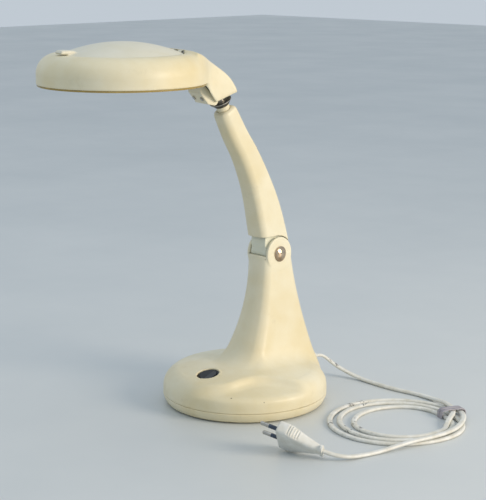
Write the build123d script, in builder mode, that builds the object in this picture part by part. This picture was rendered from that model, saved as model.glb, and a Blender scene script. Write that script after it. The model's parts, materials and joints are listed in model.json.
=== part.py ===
from build123d import *
import os
from math import atan2, cos, degrees, hypot, pi, radians, sin, tan

# A desk lamp with a ring tube round a magnifying lens, millimetres.
# The head looks along -Y, +Z is up and the origin lies on the table, under the middle of the base.

# Base
base_radius = 87.0          # at the parting line
foot_radius = 83.6
parting_height = 11.0
dome_height = 44.0
crown_radius = 330.0
shoulder_radius = 21.0
wall = 2.5
pan_gap = 1.0               # from the table to the pan
pad_radius = 74.0
pad_thickness = 1.8
ballast_radius = 70.0
ballast_thickness = 10.0
boss_ring_radius = 68.0
boss_radius = 4.5
base_screw_radius = 1.75
fit_gap = 0.1               # between pieces that are slipped together
running_gap = 0.05          # radial, round a pin or a shaft

# Shallow tray on the right of the switch
tray_edge_height = 26.5     # where the tray's floor meets the shoulder
tray_edge_radius = 84.0
tray_slope = 10.0

# Switch, a round rocker that leans to the front
switch_y = -53.0
switch_z = 37.6
switch_lean = 16.0
switch_bezel_radius = 11.5
switch_rim_radius = 13.2
switch_body_radius = 10.9
switch_body_depth = 13.0
rocker_radius = 9.0
rocker_well_radius = 9.8
rocker_drop = 1.5           # of the rocker's axis below the bezel
rocker_tilt = 7.0           # to each side
rocker_pin_radius = 1.2

# Column and its hinge
hinge_y = 36.0
hinge_height = 155.0
column_foot = 30.0          # height where the column grows out of the dome
column_half_width = 15.6
column_flare = 15.4
column_front = 16.7         # from the hinge axis forward to the front corners
column_front_flare = 38.3
column_rear = 17.9
column_rear_flare = 30.0
column_wall = 3.0
ear_thickness = 3.5
ear_radius = 17.9
slot_lip_drop = 0.5         # of the slot's lips below the hinge axis
drum_radius = 16.4
drum_pocket_gap = 1.0
washer_thickness = 0.9
bolt_radius = 3.0
bolt_head_radius = 8.2
bolt_head_rise = 3.1

# Arm, sections from the hinge: rise, reach forward, lean, depth
arm_sections = [
    (8.0, -0.2, 10.0, 34.5),
    (37.5, 7.4, 14.0, 32.4),
    (61.0, 14.6, 18.8, 28.8),
    (84.6, 24.2, 23.0, 24.8),
    (109.8, 37.2, 27.0, 21.8),
    (131.0, 50.9, 29.0, 20.2),
    (156.0, 64.6, 30.0, 18.0),
]
arm_width_low = 28.5
arm_width_high = 20.5
arm_wall = 2.4
arm_corner = 5.0
arm_bulge = 3.0              # of the front face, ahead of the sections
arm_cover_inset = 1.8       # from the rear corners forward to the seam
arm_skirt_gap = 1.0         # between the ears and the arm's hollow lower edge
arm_front_edge_rise = 19.2
arm_tube_radius = 5.0
arm_tube_wall = 1.2

# Swivel on the arm's end, distances along its axis
swivel_lean = 27.0
arm_top = (0.0, -30.0, 311.5)
collar_radius = 6.75
collar_height = 4.5
cup_height = 4.5
cup_radius_low = 7.5
cup_radius_high = 11.0
flange_radius = 11.5
flange_thickness = 0.95
stud_radius = 3.0
stud_depth = 8.0
post_radius = 3.6
clamp_half = 9.5             # of the block on the ball, along the tilt pin
tilt_pin_radius = 1.5         # across the ball and its clamp
ball_radius = 6.0
ball_rise = 20.0

# Head, measured from the ball's centre in its own heading
head_turn = 13.0
head_reach = 105.0
rim_rise = 14.0
ring_radius = 82.0
head_wall = 2.4
well_radius = 55.0
crown_height = 29.0
lid_seat_height = 25.0
lid_radius = 59.8
lid_gap = 0.6
lid_height = 39.5
lid_thickness = 2.0
tab_height = 4.2
lid_pin_radius = 1.1
lid_barrel_radius = 2.2
tube_ring_radius = 68.5
tube_radius = 7.8
tube_height = 11.0
tube_gap_angle = 18.0
reflector_thickness = 0.8
cover_thickness = 1.6
lens_radius = 54.2
lens_clear_radius = 50.3
lens_edge = 3.0
lens_bulge = 4.2
lens_height = 8.0
neck_half_width = 15.5
neck_wall = 2.4

# Cord, a flat twin
cord_width = 5.6
cord_thickness = 3.4
gland_length = 22.0
gland_radius = 4.8
gland_end_radius = 3.4
gland_height = 26.0

os.makedirs("parts", exist_ok=True)


def cap_middle(radius, rise):
    """Half-way point of a cap's arc, out from its top and down from it."""
    ball = (radius ** 2 + rise ** 2) / (2 * rise)
    half = atan2(radius, ball - rise) / 2
    return ball * sin(half), ball * (1 - cos(half))


def arc_points(start, middle, end, steps):
    """Even points along the arc through three points, which revolve to a row of cones."""
    (ax, ay), (bx, by), (cx, cy) = start, middle, end
    squares = ax ** 2 + ay ** 2, bx ** 2 + by ** 2, cx ** 2 + cy ** 2
    scale = 2 * (ax * (by - cy) + bx * (cy - ay) + cx * (ay - by))
    x = (squares[0] * (by - cy) + squares[1] * (cy - ay) + squares[2] * (ay - by)) / scale
    y = (squares[0] * (cx - bx) + squares[1] * (ax - cx) + squares[2] * (bx - ax)) / scale
    first = atan2(ay - y, ax - x)
    turn = (atan2(cy - y, cx - x) - first) % (2 * pi)
    if (atan2(by - y, bx - x) - first) % (2 * pi) > turn:
        turn -= 2 * pi
    radius = hypot(ax - x, ay - y)
    angles = [first + turn * i / steps for i in range(steps + 1)]
    return [(x + radius * cos(a), y + radius * sin(a)) for a in angles]


def rounded_outline(width, depth, corner, steps=3):
    """A rectangle about the origin whose corners are rounded by short flats."""
    points = []
    for quarter, (x, y) in enumerate([(1, 1), (-1, 1), (-1, -1), (1, -1)]):
        for i in range(steps + 1):
            a = (quarter + i / steps) * pi / 2
            points.append((x * (width / 2 - corner) + corner * cos(a), y * (depth / 2 - corner) + corner * sin(a)))
    return points


def save(part, name):
    part.label = name
    export_step(part, "parts/" + name + ".step")


# Base

boss_places = [(boss_ring_radius, a) for a in (35, 145, 215, 325)]


cavity_points = [(0, 0), (base_radius - wall, 0), (base_radius - wall, 17), (base_radius - 5.5, 25),
                 (base_radius - 12, 31.2), (base_radius - 18, 34.0), (base_radius - 47, 39.0), (0, 41.4)]


def dome(inset, foot):
    """A flat crown and a round shoulder, two arcs tangent to each other."""
    crown = crown_radius - inset
    shoulder = shoulder_radius - inset
    middle = base_radius - shoulder_radius
    rise = ((crown_radius - shoulder_radius) ** 2 - middle ** 2) ** 0.5
    low = dome_height - crown_radius
    lean = atan2(middle, rise)
    half = (pi / 2 + lean) / 2
    side = (base_radius - inset, low + rise)
    join = (crown * sin(lean), low + crown * cos(lean))
    with BuildPart() as form:
        with BuildSketch(Plane.XZ):
            Polygon((0, foot), (side[0], foot),
                    *arc_points(side, (middle + shoulder * sin(half), low + rise + shoulder * cos(half)), join, 7),
                    *arc_points(join, (crown * sin(lean / 2), low + crown * cos(lean / 2)), (0, low + crown), 4)[1:],
                    align=None)
        revolve(axis=Axis.Z)
    return form.part


# The tray is bounded inward by an S-shaped ridge and runs out over the shoulder
ridge_points = [(8, -86), (26, -71), (36, -57), (40, -38), (45, -25), (58, -10), (90, 12)]


def tray(grow, drop):
    with BuildPart() as form:
        with BuildSketch(Plane.XY):
            with BuildLine():
                edge = Spline(*[(x - grow, y + 0.3 * grow) for x, y in ridge_points])
                Polyline(edge @ 1, (110, 12), (110, -110), (12 - grow, -110), edge @ 0)
            make_face()
        extrude(amount=dome_height + 20)
        with BuildSketch(Plane.XZ):
            rise = tan(radians(tray_slope)) * tray_edge_radius
            low = tray_edge_height - drop
            with BuildLine():
                Polyline((tray_edge_radius + 20, low - 4), (tray_edge_radius, low), (0, low + rise),
                         (0, dome_height + 30), (tray_edge_radius + 20, dome_height + 30), close=True)
            make_face()
        revolve(axis=Axis.Z, mode=Mode.INTERSECT)
    return form.part


def column_section(z, inset):
    """Half width, front and rear of the column at a height."""
    low = max(0, 1 - (z - column_foot) / (hinge_height - column_foot))
    low = min(low, 1)
    half = column_half_width + column_flare * low ** 2 - inset
    front = hinge_y - column_front - column_front_flare * low ** 2.3 + inset
    rear = hinge_y + column_rear + column_rear_flare * low ** 1.15 - inset
    return half, front, rear


column_levels = [0.0, 0.1, 0.22, 0.36, 0.52, 0.75, 1.0]


def column(inset, top, foot, corner):
    """Rounded sections that narrow upwards from a flared foot."""
    heights = [foot] + [column_foot + level * (top - column_foot) for level in column_levels]
    with BuildPart() as form:
        for z in heights:
            half, front, rear = column_section(z, inset)
            with BuildSketch(Plane.XY.offset(z)):
                with Locations((0, (front + rear) / 2)):
                    Polygon(*rounded_outline(2 * half, rear - front, corner), align=None)
        loft(ruled=True)
        with BuildSketch(Plane.XY):
            Circle(base_radius - 0.5 - inset)
        extrude(amount=top, mode=Mode.INTERSECT)
    return form.part


switch_plane = Plane(origin=(0, switch_y, switch_z), x_dir=(1, 0, 0),
                     z_dir=(0, -sin(radians(switch_lean)), cos(radians(switch_lean))))
hinge_plane = Plane(origin=(0, hinge_y, hinge_height), x_dir=(0, 1, 0), z_dir=(1, 0, 0))
slot_half = column_half_width - ear_thickness
pocket_radius = drum_radius + drum_pocket_gap
hollow_top = hinge_height - pocket_radius - column_wall

with BuildPart() as cavity:
    with BuildSketch(Plane.XZ):
        Polygon(*cavity_points, align=None)
    revolve(axis=Axis.Z)
    add(tray(wall, wall), mode=Mode.SUBTRACT)
    with BuildSketch(Plane.XY):
        with Locations(*[Vector(r, 0).rotate(Axis.Z, a) for r, a in boss_places]):
            Circle(boss_radius)
    extrude(amount=dome_height, mode=Mode.SUBTRACT)
    add(column(column_wall, hollow_top, 0, 3.0))

with BuildPart() as base_top_shell:
    add(dome(0, parting_height))
    add(tray(0, 0), mode=Mode.SUBTRACT)
    add(column(0, hinge_height, 20.0, 6.0))
    with BuildSketch(switch_plane.offset(-4)):
        Circle(switch_rim_radius)
    extrude(amount=5.2)
    with BuildSketch(hinge_plane.offset(-column_half_width)):
        Circle(ear_radius)
    extrude(amount=2 * column_half_width)
    add(cavity.part, mode=Mode.SUBTRACT)
    with BuildSketch(switch_plane.offset(-14)):
        Circle(switch_body_radius + fit_gap)
    extrude(amount=20, mode=Mode.SUBTRACT)
    with BuildSketch(switch_plane.offset(-1.5)):
        Circle(switch_bezel_radius + fit_gap)
    extrude(amount=12, mode=Mode.SUBTRACT)
    with BuildSketch(hinge_plane):
        Circle(pocket_radius)
    extrude(amount=slot_half, both=True, mode=Mode.SUBTRACT)
    with BuildSketch(hinge_plane):
        with Locations((0, 20 - slot_lip_drop)):
            Rectangle(80, 40)
    extrude(amount=slot_half, both=True, mode=Mode.SUBTRACT)
    with BuildSketch(hinge_plane.offset(-30)):
        Circle(bolt_radius + running_gap)
    extrude(amount=60, mode=Mode.SUBTRACT)
    with BuildSketch(Plane.XY):
        with Locations(*[Vector(r, 0).rotate(Axis.Z, a) for r, a in boss_places]):
            Circle(base_screw_radius + 0.02)
    extrude(amount=22, mode=Mode.SUBTRACT)
    with BuildSketch(Plane.XZ.offset(-base_radius - 10)):
        with Locations((0, gland_height)):
            Circle(gland_radius + fit_gap)
    extrude(amount=30, mode=Mode.SUBTRACT)
save(base_top_shell.part, "base_top_shell")

with BuildPart() as base_bottom_pan:
    with BuildSketch(Plane.XZ):
        with BuildLine():
            Polyline((0, pan_gap), (foot_radius - 3, pan_gap), (foot_radius, pan_gap + 1.5),
                     (base_radius - 1.2, 7.0), (base_radius - 0.3, parting_height), (0, parting_height), close=True)
        make_face()
    revolve(axis=Axis.Z)
    with BuildSketch(Plane.XY.offset(pan_gap + pad_thickness + wall - 1)):
        Circle(base_radius - wall - 1)
        with Locations(*[Vector(r, 0).rotate(Axis.Z, a) for r, a in boss_places]):
            Circle(boss_radius, mode=Mode.SUBTRACT)
    extrude(amount=parting_height, mode=Mode.SUBTRACT)
    with BuildSketch(Plane.XY):
        Circle(pad_radius + fit_gap)
    extrude(amount=pad_thickness, mode=Mode.SUBTRACT)
    with BuildSketch(Plane.XY):
        with Locations(*[Vector(r, 0).rotate(Axis.Z, a) for r, a in boss_places]):
            Circle(base_screw_radius + 0.1)
    extrude(amount=parting_height + 1, mode=Mode.SUBTRACT)
save(base_bottom_pan.part, "base_bottom_pan")

with BuildPart() as base_pad:
    with BuildSketch(Plane.XY):
        Circle(pad_radius)
    extrude(amount=pad_thickness)
    with BuildSketch(Plane.XY):
        with Locations(*[Vector(r, 0).rotate(Axis.Z, a) for r, a in boss_places]):
            Circle(boss_radius)
    extrude(amount=pad_thickness, mode=Mode.SUBTRACT)
save(base_pad.part, "base_pad")

# Long screws from below, through the pan into the shell's bosses
screw_low = pad_thickness
with BuildPart() as base_screws:
    with Locations(*[Vector(r, 0, screw_low - 1.6).rotate(Axis.Z, a) for r, a in boss_places]):
        Cylinder(3.2, 1.6, align=(Align.CENTER, Align.CENTER, Align.MIN))
    with Locations(*[Vector(r, 0, screw_low).rotate(Axis.Z, a) for r, a in boss_places]):
        Cylinder(base_screw_radius, 18.0, align=(Align.CENTER, Align.CENTER, Align.MIN))
save(base_screws.part, "base_screws")

pan_inside = pan_gap + pad_thickness + wall - 1
with BuildPart() as ballast_weight:
    with BuildSketch(Plane.XY.offset(pan_inside)):
        Circle(ballast_radius)
        with Locations(*[Vector(r, 0).rotate(Axis.Z, a) for r, a in boss_places]):
            Circle(boss_radius + 1.5, mode=Mode.SUBTRACT)
        with Locations((0, ballast_radius - 4)):
            Rectangle(40, 12, mode=Mode.SUBTRACT)
    extrude(amount=ballast_thickness)
save(ballast_weight.part, "ballast_weight")
ballast_top = pan_inside + ballast_thickness

# Choke in the hollow foot of the column, an iron stack with a winding round its middle limb
choke_width = 34.0
choke_length = 40.0
choke_height = 36.0
choke_limb = 8.0
choke_y = 30.0
choke_plane = Plane(origin=(0, choke_y, ballast_top + choke_height / 2), x_dir=(0, 1, 0), z_dir=(1, 0, 0))
window = (choke_length - 4 * choke_limb) / 2
with BuildPart() as choke_core:
    with BuildSketch(choke_plane.offset(-8)):
        Rectangle(choke_length, choke_height)
        with Locations((-choke_limb - window / 2, 0), (choke_limb + window / 2, 0)):
            Rectangle(window, choke_height - 2 * choke_limb, mode=Mode.SUBTRACT)
    extrude(amount=16)
save(choke_core.part, "choke_core")

with BuildPart() as choke_winding:
    with BuildSketch(Plane(choke_plane.origin, x_dir=(1, 0, 0), z_dir=(0, 0, 1)).offset(-choke_height / 2 + choke_limb + 0.2)):
        RectangleRounded(2 * window + 22, 2 * choke_limb + 2 * window - 0.4, 3)
        Rectangle(16.2, 2 * choke_limb + 0.2, mode=Mode.SUBTRACT)
    extrude(amount=choke_height - 2 * choke_limb - 0.4)
save(choke_winding.part, "choke_winding")

with BuildPart() as terminal_block:
    with BuildSketch(Plane.XY.offset(ballast_top)):
        with Locations((-38, -4)):
            Rectangle(12, 30)
    extrude(amount=9)
    with BuildSketch(Plane.XY.offset(ballast_top + 9)):
        with Locations((-38, -14), (-38, -4), (-38, 6)):
            Circle(2.2)
    extrude(amount=-6, mode=Mode.SUBTRACT)
save(terminal_block.part, "terminal_block")

# Switch
rocker_axis = switch_plane.offset(-rocker_drop)
rocker_section = Plane(rocker_axis.origin, x_dir=switch_plane.x_dir, z_dir=-switch_plane.y_dir)
with BuildPart() as switch_housing:
    with BuildSketch(switch_plane):
        Circle(switch_bezel_radius)
    extrude(amount=-1.4)
    with BuildSketch(switch_plane.offset(-1.4)):
        Circle(switch_body_radius)
    extrude(amount=-switch_body_depth)
    with BuildSketch(switch_plane):
        Circle(rocker_well_radius)
    extrude(amount=-8.5, mode=Mode.SUBTRACT)
    with BuildSketch(rocker_section.offset(-10.6)):
        Circle(rocker_pin_radius + running_gap)
    extrude(amount=21.2, mode=Mode.SUBTRACT)
save(switch_housing.part, "switch_housing")

with BuildPart() as switch_terminals:
    with BuildSketch(switch_plane.offset(-1.4 - switch_body_depth)):
        with Locations((-5, 0), (5, 0)):
            Rectangle(0.8, 5)
    extrude(amount=-4.5)
save(switch_terminals.part, "switch_terminals")

# The rocker's two halves meet in a shallow V, drawn level and then tipped on its pins
with BuildPart() as switch_rocker:
    rise = rocker_radius * tan(radians(rocker_tilt))
    tipped = rocker_section.rotated((0, 0, rocker_tilt))
    with BuildSketch(tipped.offset(-rocker_radius)):
        with BuildLine():
            Polyline((rocker_radius - 0.4, rocker_drop + 0.3 + rise), (0, rocker_drop + 0.3),
                     (-rocker_radius + 0.4, rocker_drop + 0.3 + rise), (-rocker_radius + 0.2, -1))
            ThreePointArc((-rocker_radius + 0.2, -1), (0, -5.6), (rocker_radius - 0.2, -1))
            Line((rocker_radius - 0.2, -1), (rocker_radius - 0.4, rocker_drop + 0.3 + rise))
        make_face()
    extrude(amount=2 * rocker_radius)
    with BuildSketch(Plane(tipped.origin, x_dir=tipped.x_dir, z_dir=tipped.y_dir).offset(-8)):
        Circle(rocker_radius)
    extrude(amount=16, mode=Mode.INTERSECT)
    with BuildSketch(rocker_section.offset(-10.4)):
        Circle(rocker_pin_radius)
    extrude(amount=20.8)
save(switch_rocker.part, "switch_rocker")

# Hinge bolt, its nut and the two friction washers
with BuildPart() as pivot_bolt:
    with BuildSketch(Plane.XY):
        seat = column_half_width + 0.25
        rim = seat + 0.8
        out, down = cap_middle(bolt_head_radius, bolt_head_rise)
        Polygon((-seat - 1, 0), (-seat - 1, bolt_radius), (seat, bolt_radius), (seat, bolt_head_radius),
                *arc_points((rim, bolt_head_radius), (rim + bolt_head_rise - down, out), (rim + bolt_head_rise, 0), 4),
                align=None)
    revolve(axis=Axis.X)
pivot_bolt_moved = pivot_bolt.part.moved(Location((0, hinge_y, hinge_height)))
save(pivot_bolt_moved, "pivot_bolt")

with BuildPart() as pivot_nut:
    with BuildSketch(hinge_plane.offset(-column_half_width - 0.25)):
        Circle(7.2)
    extrude(amount=-4.2)
    chamfer(pivot_nut.faces().sort_by(Axis.X)[0].edges(), 1.5)
    with BuildSketch(hinge_plane.offset(-column_half_width)):
        Circle(bolt_radius + 0.02)
    extrude(amount=-1.4, mode=Mode.SUBTRACT)
save(pivot_nut.part, "pivot_nut")

with BuildPart() as friction_washers:
    for side in (-1, 1):
        with BuildSketch(hinge_plane.offset(side * slot_half)):
            Circle(15.0)
            Circle(bolt_radius + running_gap, mode=Mode.SUBTRACT)
        extrude(amount=-side * washer_thickness)
save(friction_washers.part, "friction_washers")

# Arm


def arm_plane(rise, reach, lean):
    a = radians(lean)
    return Plane(origin=(0, hinge_y - reach, hinge_height + rise), x_dir=(1, 0, 0), z_dir=(0, -sin(a), cos(a)))


def arm_width(rise):
    low = arm_sections[0][0]
    high = arm_sections[-1][0]
    return arm_width_low + (arm_width_high - arm_width_low) * (rise - low) / (high - low)


def arm(inset, corner):
    """Rounded sections that lean forward, narrow and get shallower towards the head."""
    last = arm_sections[-1]
    sections = arm_sections[:-1]
    sections = sections + [(last[0] + 2, last[1] + 1.2, last[2], last[3])]
    with BuildPart() as form:
        for rise, reach, lean, depth in sections:
            with BuildSketch(arm_plane(rise, reach, lean)):
                with Locations((0, -arm_bulge / 2)):
                    Polygon(*rounded_outline(arm_width(rise) - 2 * inset, depth + arm_bulge - 2 * inset, corner),
                            align=None)
        loft(ruled=True)
    return form.part


def arm_slab(section, start):
    rise, reach, lean, depth = section
    with BuildSketch(arm_plane(rise, reach, lean)) as outline:
        with Locations((0, depth / 2 - start)):
            Rectangle(arm_width_low + 10, start + 6, align=(Align.CENTER, Align.MIN))
    return outline.sketch


with BuildPart() as arm_form:
    add(arm(0, arm_corner))
    with BuildSketch(hinge_plane.offset(-30)):
        Circle(ear_radius + arm_skirt_gap)
        with Locations((-20, arm_front_edge_rise - 20)):
            Rectangle(40, 40)
    extrude(amount=60, mode=Mode.SUBTRACT)

with BuildPart() as arm_hollow:
    add(arm(arm_wall, arm_corner - arm_wall))
    with BuildSketch(arm_plane(*arm_sections[-1][:3]).offset(-3.0)):
        Rectangle(100, 100)
    extrude(amount=50, mode=Mode.SUBTRACT)

# Screw bosses between the arm's front wall and its rear cover
arm_screw_places = [(1, 8.8), (4, 7.5)]


def depth_plane(index):
    rise, reach, lean, depth = arm_sections[index]
    base = arm_plane(rise, reach, lean)
    return Plane(base.origin, x_dir=(1, 0, 0), z_dir=base.y_dir), depth


with BuildPart() as arm_bosses:
    for index, x in arm_screw_places:
        plane, depth = depth_plane(index)
        with BuildSketch(plane.offset(-depth / 2)):
            with Locations((-x, 0), (x, 0)):
                Circle(2.2)
        extrude(amount=depth - arm_cover_inset - 0.8)

with BuildPart() as arm_front_shell:
    add(arm_form.part)
    add(arm_hollow.part, mode=Mode.SUBTRACT)
    add(arm_bosses.part)
    add(arm_form.part, mode=Mode.INTERSECT)
    loft([arm_slab(s, arm_cover_inset) for s in arm_sections], mode=Mode.SUBTRACT)
    for index, x in arm_screw_places:
        plane, depth = depth_plane(index)
        with BuildSketch(plane.offset(depth / 2)):
            with Locations((-x, 0), (x, 0)):
                Circle(1.1)
        extrude(amount=-depth + 5, mode=Mode.SUBTRACT)
    top_plane = Plane(origin=arm_top, x_dir=(1, 0, 0),
                      z_dir=(0, -sin(radians(swivel_lean)), cos(radians(swivel_lean))))
    with BuildSketch(top_plane.offset(-12)):
        Circle(collar_radius + fit_gap)
    extrude(amount=20, mode=Mode.SUBTRACT)

with BuildPart() as arm_rear_cover:
    add(arm_form.part)
    loft([arm_slab(s, arm_cover_inset - 0.08) for s in arm_sections], mode=Mode.INTERSECT)
    for index, x in arm_screw_places:
        plane, depth = depth_plane(index)
        with BuildSketch(plane.offset(depth / 2 + 3)):
            with Locations((-x, 0), (x, 0)):
                Circle(1.5)
        extrude(amount=-12, mode=Mode.SUBTRACT)
    with BuildSketch(top_plane.offset(-12)):
        Circle(collar_radius + fit_gap)
    extrude(amount=20, mode=Mode.SUBTRACT)
save(arm_front_shell.part, "arm_front_shell")
save(arm_rear_cover.part, "arm_rear_cover")

with BuildPart() as arm_screws:
    for index, x in arm_screw_places:
        plane, depth = depth_plane(index)
        with BuildSketch(plane.offset(depth / 2 + 0.2)):
            with Locations((-x, 0), (x, 0)):
                Circle(1.4)
        extrude(amount=-arm_cover_inset)
        with BuildSketch(plane.offset(depth / 2)):
            with Locations((-x, 0), (x, 0)):
                Circle(1.05)
        extrude(amount=-9)
save(arm_screws.part, "arm_screws")

# Knuckle, a drum between the ears with a tang that carries the steel tube
drum_half = slot_half - washer_thickness - running_gap
knuckle_section = arm_sections[1]
knuckle_top = arm_plane(knuckle_section[0] - 6, knuckle_section[1] - 1.5, knuckle_section[2])
tang_half = arm_width_low / 2 - arm_wall - 1.4
with BuildPart() as arm_knuckle:
    with BuildSketch(hinge_plane.offset(-drum_half)):
        Circle(drum_radius)
    extrude(amount=2 * drum_half)
    with BuildSketch(hinge_plane.offset(-tang_half)):
        Polygon((-drum_radius, 0), (-15.6, 7.2), (-drum_radius - 0.3, 11), (-15.9, 19), (-14.5, 28), (5.5, 33), (10.6, 22), (12, 11), (0, 0),
                align=None)
    extrude(amount=2 * tang_half)
    with BuildSketch(hinge_plane.offset(-30)):
        Circle(bolt_radius + running_gap)
    extrude(amount=60, mode=Mode.SUBTRACT)
    with BuildSketch(knuckle_top.offset(20)):
        Circle(arm_tube_radius + 0.3)
    extrude(amount=-29, mode=Mode.SUBTRACT)
save(arm_knuckle.part, "arm_knuckle")

collar_plane = top_plane.offset(-10.9)
with BuildPart() as arm_tube:
    with BuildLine() as tube_line:
        ThreePointArc((knuckle_top.offset(-8)).origin, arm_plane(*arm_sections[2][:3]).origin, collar_plane.origin)
    with BuildSketch(Plane(origin=tube_line.line @ 0, x_dir=(1, 0, 0), z_dir=tube_line.line % 0)):
        RegularPolygon(arm_tube_radius, 12)
        RegularPolygon(arm_tube_radius - arm_tube_wall, 12, mode=Mode.SUBTRACT)
    sweep()
save(arm_tube.part, "arm_tube")

# Collar and cup on the arm's end, bored for the swivel's stud
with BuildPart() as arm_collar:
    with BuildSketch(top_plane.offset(-10)):
        Circle(collar_radius)
    extrude(amount=10 + collar_height)
    with BuildSketch(top_plane.offset(-20)):
        Circle(stud_radius + running_gap)
    extrude(amount=40, mode=Mode.SUBTRACT)
save(arm_collar.part, "arm_collar")

with BuildPart() as swivel_cup:
    with BuildSketch(top_plane.offset(collar_height)):
        Circle(cup_radius_low)
    with BuildSketch(top_plane.offset(collar_height + cup_height)):
        Circle(cup_radius_high)
    loft()
    with BuildSketch(top_plane):
        Circle(stud_radius + running_gap)
    extrude(amount=20, mode=Mode.SUBTRACT)
save(swivel_cup.part, "swivel_cup")

flange_rise = collar_height + cup_height + running_gap
with BuildPart() as swivel_flange:
    with BuildSketch(top_plane.offset(flange_rise)):
        Circle(flange_radius)
        Circle(stud_radius + 0.01, mode=Mode.SUBTRACT)
    extrude(amount=flange_thickness)
save(swivel_flange.part, "swivel_flange")

ball_centre = top_plane.origin + top_plane.z_dir * ball_rise

# Head directions: x to its right, y back towards the neck
turn = radians(head_turn)
head_x = Vector(cos(turn), -sin(turn), 0)
head_y = Vector(sin(turn), cos(turn), 0)
stud_plane = Plane(origin=top_plane.origin, x_dir=top_plane.z_dir, z_dir=(1, 0, 0))
with BuildPart() as ball_stud:
    neck_end = ball_rise - (ball_radius ** 2 - (post_radius - 0.8) ** 2) ** 0.5
    with BuildSketch(stud_plane):
        Polygon((-stud_depth, 0), (-stud_depth, stud_radius), (flange_rise + flange_thickness, stud_radius),
                (flange_rise + flange_thickness, post_radius + 1), (flange_rise + 2.2, post_radius + 1),
                *arc_points((neck_end, post_radius - 0.8), (ball_rise, ball_radius), (ball_rise + ball_radius, 0), 8),
                align=None)
    revolve(axis=Axis(top_plane.origin, top_plane.z_dir))
    with BuildSketch(Plane(origin=ball_centre, z_dir=head_x)):
        Circle(tilt_pin_radius)
    extrude(amount=clamp_half - 0.1, both=True)
save(ball_stud.part, "ball_stud")
# Head, in its own frame, with z up from the rim
head_origin = ball_centre - head_y * head_reach + Vector(0, 0, rim_rise)
head_frame = Plane(origin=head_origin, x_dir=head_x, z_dir=(0, 0, 1))
head_side = Plane(origin=head_origin, x_dir=head_y, z_dir=head_x)
head_axis = Axis(head_origin, (0, 0, 1))


def head_ring(*points):
    """A ring round the head's axis whose section is a polygon of (radius, height)."""
    with BuildPart() as form:
        with BuildSketch(head_side):
            Polygon(*points, align=None)
        revolve(axis=head_axis)
    return form.part


def trough(inset, low):
    """The arched channel that the ring tube lies in."""
    with BuildPart() as form:
        with BuildSketch(head_side):
            inner = well_radius + head_wall + inset
            outer = ring_radius - head_wall - inset
            Polygon((outer, 9), (outer, low), (inner, low), (inner, 20.0 - inset), (63.5, 22.5 - inset),
                    (70.5, 22.3 - inset), (outer - 3.8, 19.2 - inset * 0.7), (outer - 0.8, 14.5 - inset * 0.3),
                    align=None)
        revolve(axis=head_axis)
    return form.part


# Neck seen from the side, (back, up) from the head's axis and rim
neck_top = [(58, 27.5), (74, 22.4), (88, 17.6), (101, 10.2), (112, 1.4), (119, -8.5), (121.0, -14.0)]
neck_under = [(95.6, -23.3), (73, 0)]


def neck(inset, low, first):
    """Neck's side view crossed with its plan, which flares into the ring."""
    with BuildPart() as form:
        with BuildSketch(head_side):
            with BuildLine():
                top = Spline(*[(y - inset * 0.6, z - inset) for y, z in neck_top[first:]])
                Polyline(top @ 1, (neck_under[0][0] - inset * 2, neck_under[0][1] - low),
                         (neck_under[1][0] - inset * 2, neck_under[1][1] - low), ((top @ 0).X, -low), top @ 0)
            make_face()
        extrude(amount=60, both=True)
        with BuildSketch(head_frame.offset(-60)):
            with BuildLine():
                half = neck_half_width - inset
                right = Spline((46, 58), (27, 80), (half + 1.8, 94), (half, 108))
                left = Spline((-46, 58), (-27, 80), (-half - 1.8, 94), (-half, 108))
                Polyline(right @ 1, (half, 130), (-half, 130), left @ 1)
                Line(right @ 0, left @ 0)
            make_face()
        extrude(amount=120, mode=Mode.INTERSECT)
    return form.part


lid_pin_y = lid_radius + 0.4
lid_pin_height = lid_seat_height + 2.4
with BuildPart() as head_shell:
    with BuildSketch(head_side):
        Polygon((ring_radius, 0), (well_radius, 0), (well_radius, lid_seat_height),
                (lid_radius + lid_gap, lid_seat_height), (lid_radius + lid_gap, crown_height - 0.8),
                *arc_points((63.5, crown_height - 0.3), (ring_radius - 5.5, 23.0), (ring_radius, 9), 7), align=None)
    revolve(axis=head_axis)
    add(neck(0, 0, 0))
    add(trough(0, -30), mode=Mode.SUBTRACT)
    add(neck(neck_wall, 12, 1), mode=Mode.SUBTRACT)
    with BuildSketch(head_frame.offset(-5)):
        Circle(well_radius)
    extrude(amount=60, mode=Mode.SUBTRACT)
    add(head_ring((50.5, 5.5), (well_radius + 1, 5.5), (well_radius + 1, lens_height), (50.5, lens_height)))
    add(head_ring((well_radius, 0), (well_radius + head_wall, 0), (well_radius + head_wall, 20.2), (well_radius, 20.2)))
    add(head_ring((40, lid_seat_height), (lid_radius + lid_gap, lid_seat_height), (lid_radius + lid_gap, 60), (40, 60)),
        mode=Mode.SUBTRACT)
    with BuildSketch(head_side):
        with Locations((lid_pin_y, lid_pin_height)):
            Circle(lid_barrel_radius + 0.6)
    extrude(amount=20, both=True, mode=Mode.SUBTRACT)
    with BuildSketch(head_side):
        with Locations((lid_pin_y - 3, lid_pin_height + 5)):
            Rectangle(5.6 + 2 * lid_barrel_radius, 10)
    extrude(amount=20, both=True, mode=Mode.SUBTRACT)
    with BuildSketch(head_side.offset(-21.6)):
        with Locations((lid_pin_y, lid_pin_height)):
            Circle(lid_pin_radius + 0.01)
    extrude(amount=43.2, mode=Mode.SUBTRACT)
save(head_shell.part, "head_shell")

with BuildPart() as reflector:
    add(trough(0.3, 2.5))
    add(trough(0.3 + reflector_thickness, 0), mode=Mode.SUBTRACT)
save(reflector.part, "reflector")

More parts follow.
